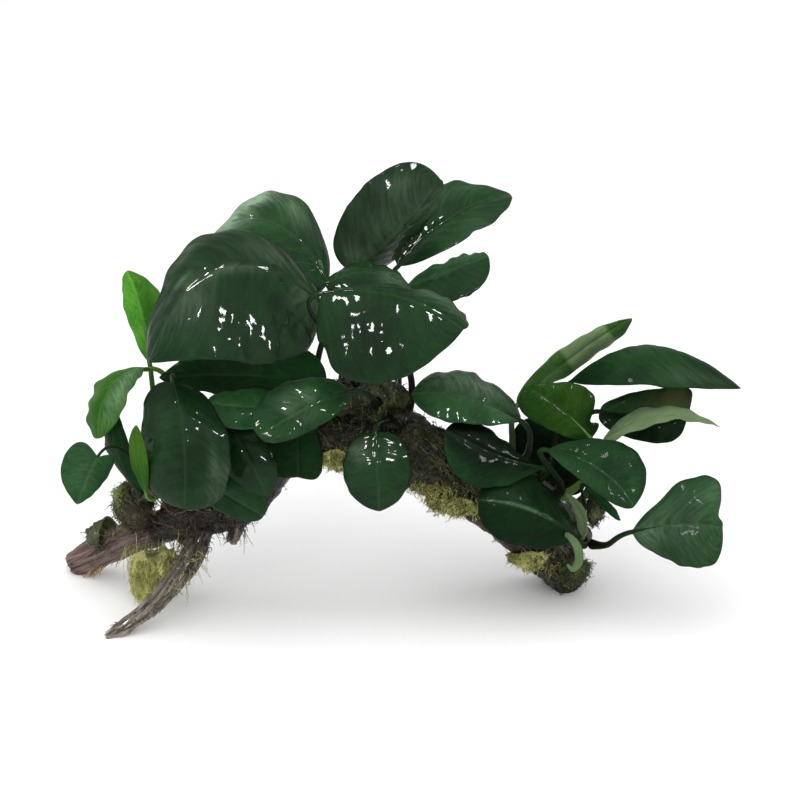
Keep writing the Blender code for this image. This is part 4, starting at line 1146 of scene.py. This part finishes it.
def curled_shoot(finish):
    """A young leaf, still rolled, that hooks over at the right foot."""
    line = smooth_line([seen(*p) for p in SHOOT], SHOOT_PLACES)
    share = np.linspace(0, 1, len(line))
    side, over, tangents = frames_along(line)
    angle = turns(SHOOT_SIDES)
    swell = np.sin(math.pi * np.clip(share * 1.1 - 0.05, 0, 1)) ** 0.8
    wide = SHOOT_HALF_WIDTH * (0.35 + 0.65 * swell)
    roll = (SHOOT_ROLL * share)[:, None]
    turned = np.cos(roll) * side + np.sin(roll) * over
    across = np.cross(tangents, turned)
    bulge = wide[:, None] * (1 + 0.16 * np.cos(angle) * share[:, None])
    rings = (line[:, None] + turned[:, None] * (np.cos(angle) * bulge)[..., None]
             + across[:, None] * (np.sin(angle) * SHOOT_FLATNESS * bulge)[..., None])
    s = np.tile(np.cos(angle), len(line))
    along = np.repeat(share, SHOOT_SIDES)
    piece = Piece("leaf_place", "leaf_facts", "leaf_mood")
    piece.add(*capped(rings, line[0], line[-1]), leaf_mood=SHOOT_MOOD,
              leaf_place=with_ends(np.stack([along * 14, s, along], -1)),
              leaf_facts=with_ends(np.stack([np.abs(s) * 2, 0 * s + 0.8, 0 * s], -1)))
    obj = piece.make("curled_shoot", finish)
    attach(obj, "root")


class Finish:
    """A wet material, whose nodes are made and joined by short calls."""

    def __init__(self, name):
        self.material = bpy.data.materials.new(name)
        self.material.use_nodes = True
        self.tree = self.material.node_tree
        self.shader = self.tree.nodes["Principled BSDF"]
        self.spot = self.node("ShaderNodeTexCoord").outputs["Object"]

    def node(self, kind, **settings):
        """A new node with these settings."""
        node = self.tree.nodes.new(kind)
        for setting, value in settings.items():
            setattr(node, setting, value)
        return node

    def feed(self, socket, value):
        """Joins another node's output to a socket, or sets a constant on it."""
        if isinstance(value, bpy.types.NodeSocket):
            self.tree.links.new(value, socket)
        else:
            socket.default_value = value

    def fact(self, name):
        """A fact that the mesh carries, as one vector."""
        return self.node("ShaderNodeAttribute", attribute_name=name).outputs["Vector"]

    def facts(self, name):
        """The three values of a fact that the mesh carries."""
        node = self.node("ShaderNodeSeparateXYZ")
        self.feed(node.inputs[0], self.fact(name))
        return tuple(node.outputs)

    def join(self, x, y, z):
        """A vector of three values."""
        node = self.node("ShaderNodeCombineXYZ")
        for socket, value in zip(node.inputs, (x, y, z)):
            self.feed(socket, value)
        return node.outputs[0]

    def maths(self, operation, *values):
        """The result of one operation on the values."""
        node = self.node("ShaderNodeMath", operation=operation)
        for socket, value in zip(node.inputs, values):
            self.feed(socket, value)
        return node.outputs[0]

    def times(self, first, second):
        """Product of two values."""
        return self.maths("MULTIPLY", first, second)

    def ramp(self, value, rise, start):
        """start where value is 0, changed by rise where it is 1."""
        return self.maths("MULTIPLY_ADD", value, rise, start)

    def step(self, value, start, end):
        """0 up to start and 1 from end on, with a smooth rise between; start may be above end."""
        node = self.node("ShaderNodeMapRange", interpolation_type="SMOOTHSTEP")
        flip = start > end
        self.feed(node.inputs["Value"], value)
        node.inputs["From Min"].default_value = min(start, end)
        node.inputs["From Max"].default_value = max(start, end)
        node.inputs["To Min"].default_value = 1.0 if flip else 0.0
        node.inputs["To Max"].default_value = 0.0 if flip else 1.0
        return node.outputs["Result"]

    def noise(self, scale, detail=3.0, roughness=0.55, at=None):
        """Noise from 0 to 1, with so many lumps to a metre or to a unit of the vector at."""
        node = self.node("ShaderNodeTexNoise")
        self.feed(node.inputs["Vector"], at or self.spot)
        node.inputs["Scale"].default_value = scale
        node.inputs["Detail"].default_value = detail
        node.inputs["Roughness"].default_value = roughness
        return node.outputs["Fac"]

    def mix(self, share, first, second):
        """A colour between two, with this share of the second."""
        node = self.node("ShaderNodeMix", data_type="RGBA")
        self.feed(node.inputs["Factor"], share)
        for socket, colour in zip((node.inputs[6], node.inputs[7]), (first, second)):
            self.feed(socket, colour if isinstance(colour, bpy.types.NodeSocket) else (*colour, 1.0))
        return node.outputs[2]

    def scaled(self, colour, amount):
        """A colour times a value."""
        node = self.node("ShaderNodeVectorMath", operation="SCALE")
        self.feed(node.inputs[0], colour)
        self.feed(node.inputs["Scale"], amount)
        return node.outputs[0]

    def bump(self, height, depth, under=None):
        """Normal for a height field whose 0 to 1 stands for so many millimetres."""
        node = self.node("ShaderNodeBump")
        node.inputs["Distance"].default_value = depth * MM
        self.feed(node.inputs["Height"], height)
        if under is not None:
            self.feed(node.inputs["Normal"], under)
        return node.outputs["Normal"]

    def surface(self, colour, roughness, normal, specular):
        """What lies under the film of water."""
        self.feed(self.shader.inputs["Base Color"], colour)
        self.feed(self.shader.inputs["Roughness"], roughness)
        self.feed(self.shader.inputs["Normal"], normal)
        self.shader.inputs["Specular IOR Level"].default_value = specular

    def film(self, weight, roughness, normal=None):
        """Film of water over everything; gives the finished material."""
        self.shader.inputs["Coat Weight"].default_value = weight
        self.shader.inputs["Coat Roughness"].default_value = roughness
        self.shader.inputs["Coat IOR"].default_value = WATER_IOR
        if normal is not None:
            self.feed(self.shader.inputs["Coat Normal"], normal)
        return self.material


def leaf_finish(name, deep, light, vein, under, stalk, film):
    """Glossy blade with side veins, mottling, specks, painted light and shade, painted sheen and a film
    of water.
    """
    f = Finish(name)
    phase, s, _ = f.facts("leaf_place")
    across, beneath, stalkness = f.facts("leaf_facts")
    pale, tone, olive = f.facts("leaf_mood")
    edge = f.maths("ABSOLUTE", s)
    streaks = f.noise(2.2, 4, 0.6, at=f.join(f.times(phase, 1.3), f.times(edge, 0.9), s))
    patches = f.maths("ADD", f.times(f.noise(48, 4), 0.65), f.times(streaks, 0.35))
    colour = f.mix(f.step(patches, 0.36, 0.66), deep, light)
    veins = f.times(f.step(f.maths("PINGPONG", phase, 0.5), 0.10, 0.0), f.step(edge, 1.0, 0.5))
    veins = f.times(veins, f.step(f.noise(60, 2), 0.35, 0.65))
    ribs = f.step(across, 0.9, 0.2)
    colour = f.mix(f.maths("MAXIMUM", f.times(veins, 0.16), f.times(ribs, 0.30)), colour, vein)
    colour = f.scaled(colour, f.ramp(f.noise(900, 2), 0.5, 0.75))
    colour = f.mix(f.times(olive, f.step(f.noise(40, 3), 0.3, 0.6)), colour, OLIVE)
    specks = f.step(f.noise(420, 2, 0.4), 0.70, 0.76)
    colour = f.mix(f.times(specks, 0.5), colour, SPECK)
    rim = f.step(edge, 0.965, 1.0)
    colour = f.mix(f.times(rim, 0.22), colour, vein)
    below = f.scaled(f.mix(f.times(veins, 0.5), under, light), f.ramp(f.noise(120, 3), 0.6, 0.7))
    # painted light and shade, by the tone of each place
    colour = f.scaled(f.mix(beneath, colour, below), tone)
    # painted pale sheen, in streaks along the side veins
    colour = f.mix(f.times(pale, f.ramp(f.step(streaks, 0.3, 0.7), 0.9, 0.5)), colour, PAINTED_SHEEN)
    relief = f.maths("ADD", f.times(veins, -0.5), f.noise(700, 2))
    f.surface(f.mix(stalkness, colour, stalk), f.ramp(f.noise(90, 3), 0.25, 0.36),
              f.bump(relief, 0.12), LEAF_SPECULAR)
    drops = f.maths("ADD", f.noise(75, 0), f.times(f.noise(220, 0), 0.22))
    return f.film(film, 0.06, f.bump(drops, 1.7))


def wood_finish():
    """Soaked wood: near-black bark, red heartwood and grey weathered tips, fibrous, painted crevice
    shade.
    """
    f = Finish("soaked_driftwood")
    along, x, y = f.facts("wood_place")
    red, grey, crevice_shade = f.facts("wood_tone")
    grain = f.join(f.times(along, 0.10), f.times(x, 1.4), f.times(y, 1.4))
    fibres = f.noise(1.5, 6, 0.7, at=grain)
    streaks = f.step(f.noise(0.6, 5, 0.7, at=grain), 0.36, 0.66)
    sound = f.mix(red, f.mix(streaks, *BARK), f.mix(streaks, *HEARTWOOD))
    colour = f.mix(grey, sound, f.mix(streaks, *WEATHERED))
    colour = f.scaled(colour, f.ramp(fibres, 1.5, 0.3))
    colour = f.mix(f.times(f.step(f.noise(95, 4), 0.56, 0.70), 0.55), colour, ALGAE)
    # painted shade in the cracks and pits
    colour = f.mix(f.times(f.step(crevice_shade, 0.1, 0.7), 0.8), colour, CREVICE_SHADE)
    f.surface(colour, f.ramp(fibres, 0.4, 0.38), f.bump(fibres, 0.6), WOOD_SPECULAR)
    return f.film(0.6, 0.06, f.bump(f.noise(150, 1), 0.9, f.fact("wood_skin")))


def rhizome_finish():
    """Olive stem with brown rings where leaves have been shed."""
    f = Finish("anubias_rhizome")
    _, _, ring = f.facts("stem_place")
    mottled = f.mix(f.step(f.noise(170, 4), 0.38, 0.62), *STEM_COLOURS)
    colour = f.scaled(f.mix(ring, mottled, RING_COLOUR), f.ramp(f.noise(1100, 2), 0.8, 0.6))
    f.surface(colour, f.ramp(f.noise(400, 2), 0.3, 0.4), f.bump(f.noise(800, 3), 0.35), STEM_SPECULAR)
    return f.film(0.3, 0.15)


def strand_finish(name, dark, light, dead, rough=0.55):
    """Soft growth, lighter at its tips, painted shade in a body's dents, some strands gone brown."""
    f = Finish(name)
    share, tint, leaflet = f.facts("strand")
    colour = f.mix(f.maths("POWER", tint, 1.5), dark, light)
    colour = f.mix(f.times(f.step(f.noise(260, 2), 0.62, 0.72), 0.7), colour, dead)
    # lighter towards strand and leaflet tips; on a clump's body, painted shade in its deeper dents
    lit = f.times(f.ramp(share, 0.60, f.ramp(leaflet, 0.15, 0.40)), f.ramp(f.noise(900, 3), 0.9, 0.5))
    f.surface(f.scaled(colour, lit), f.ramp(f.noise(500, 2), 0.3, rough),
              f.bump(f.noise(1400, 2), 0.5), STRAND_SPECULAR)
    return f.film(0.25, 0.2)


def placed(obj, place, aim):
    """Puts a lamp or the camera at a place, turned to its aim."""
    obj.location = place
    obj.rotation_euler = (Vector(aim) - Vector(place)).to_track_quat("-Z", "Y").to_euler()
    bpy.context.scene.collection.objects.link(obj)


def floor():
    """A wide pale floor."""
    mesh = bpy.data.meshes.new("floor")
    corners = [(x * FLOOR_HALF, y * FLOOR_HALF, 0) for x, y in ((-1, -1), (1, -1), (1, 1), (-1, 1))]
    mesh.from_pydata(corners, [], [(0, 1, 2, 3)])
    obj = bpy.data.objects.new("floor", mesh)
    bpy.context.scene.collection.objects.link(obj)
    f = Finish("pale_floor")
    f.shader.inputs["Base Color"].default_value = FLOOR_COLOUR
    f.shader.inputs["Roughness"].default_value = 0.9
    f.shader.inputs["Specular IOR Level"].default_value = 0.1
    obj.data.materials.append(f.material)


def lamps():
    """The lamps and the even light of the room."""
    for name, values in LAMPS.items():
        lamp = bpy.data.lights.new(name, "AREA")
        lamp.size = values["side"]
        lamp.energy = values["power"]
        lamp.spread = math.radians(values.get("spread", 180))
        obj = bpy.data.objects.new(name, lamp)
        obj.visible_diffuse = values["only"] == "diffuse"
        obj.visible_glossy = values["only"] == "glossy"
        placed(obj, values["place"], values["aim"])
    world = bpy.data.worlds.new("room")
    world.use_nodes = True
    background = world.node_tree.nodes["Background"]
    background.inputs["Color"].default_value = WORLD_COLOUR
    background.inputs["Strength"].default_value = WORLD_STRENGTH
    bpy.context.scene.world = world


def camera():
    """The eye that seen() reckons with."""
    lens = bpy.data.cameras.new("camera")
    lens.sensor_width = SENSOR
    lens.lens = SENSOR * VIEW_DISTANCE / VIEW_WIDTH
    lens.clip_end = CLIP_END
    middle = seen(0, 0, 0)
    obj = bpy.data.objects.new("camera", lens)
    placed(obj, (middle + TOWARDS_EYE * VIEW_DISTANCE) * MM, middle * MM)
    bpy.context.scene.camera = obj


def plant():
    """The whole plant: leaves, rhizomes, wood and clumps first, then what grows on them."""
    greens = {kind: leaf_finish(**look) for kind, look in LEAF_FINISHES.items()}
    for name, values in LEAVES.items():
        leaf(name, values, greens)
    stem = rhizome_finish()
    ground = [rhizome(name, stem) for name in RHIZOMES]
    bark = wood_finish()
    ground.append(driftwood(bark))
    soft = {kind: strand_finish(*look) for kind, look in GROWTH.items()}
    ground += [moss(name, values, soft) for name, values in MOSS.items()]
    tree = tree_of(ground)
    for name, values in TORN.items():
        limb = Limb(*LIMBS[values["limb"]])
        torn_fibres(name, limb, soft["splinters"] if values["below"] else bark, values)
    for seed, (name, routes) in enumerate(ROOTS.items(), ROOT_SEED):
        roots(name, routes, tree, soft["roots"], seed)
    for seed, (name, values) in enumerate(MATS.items(), MAT_SEED):
        mat(name, values, tree, soft[values["finish"]], seed)
    curled_shoot(greens["pale"])


plant()
floor()
lamps()
camera()
bpy.context.scene.view_settings.view_transform = "Standard"
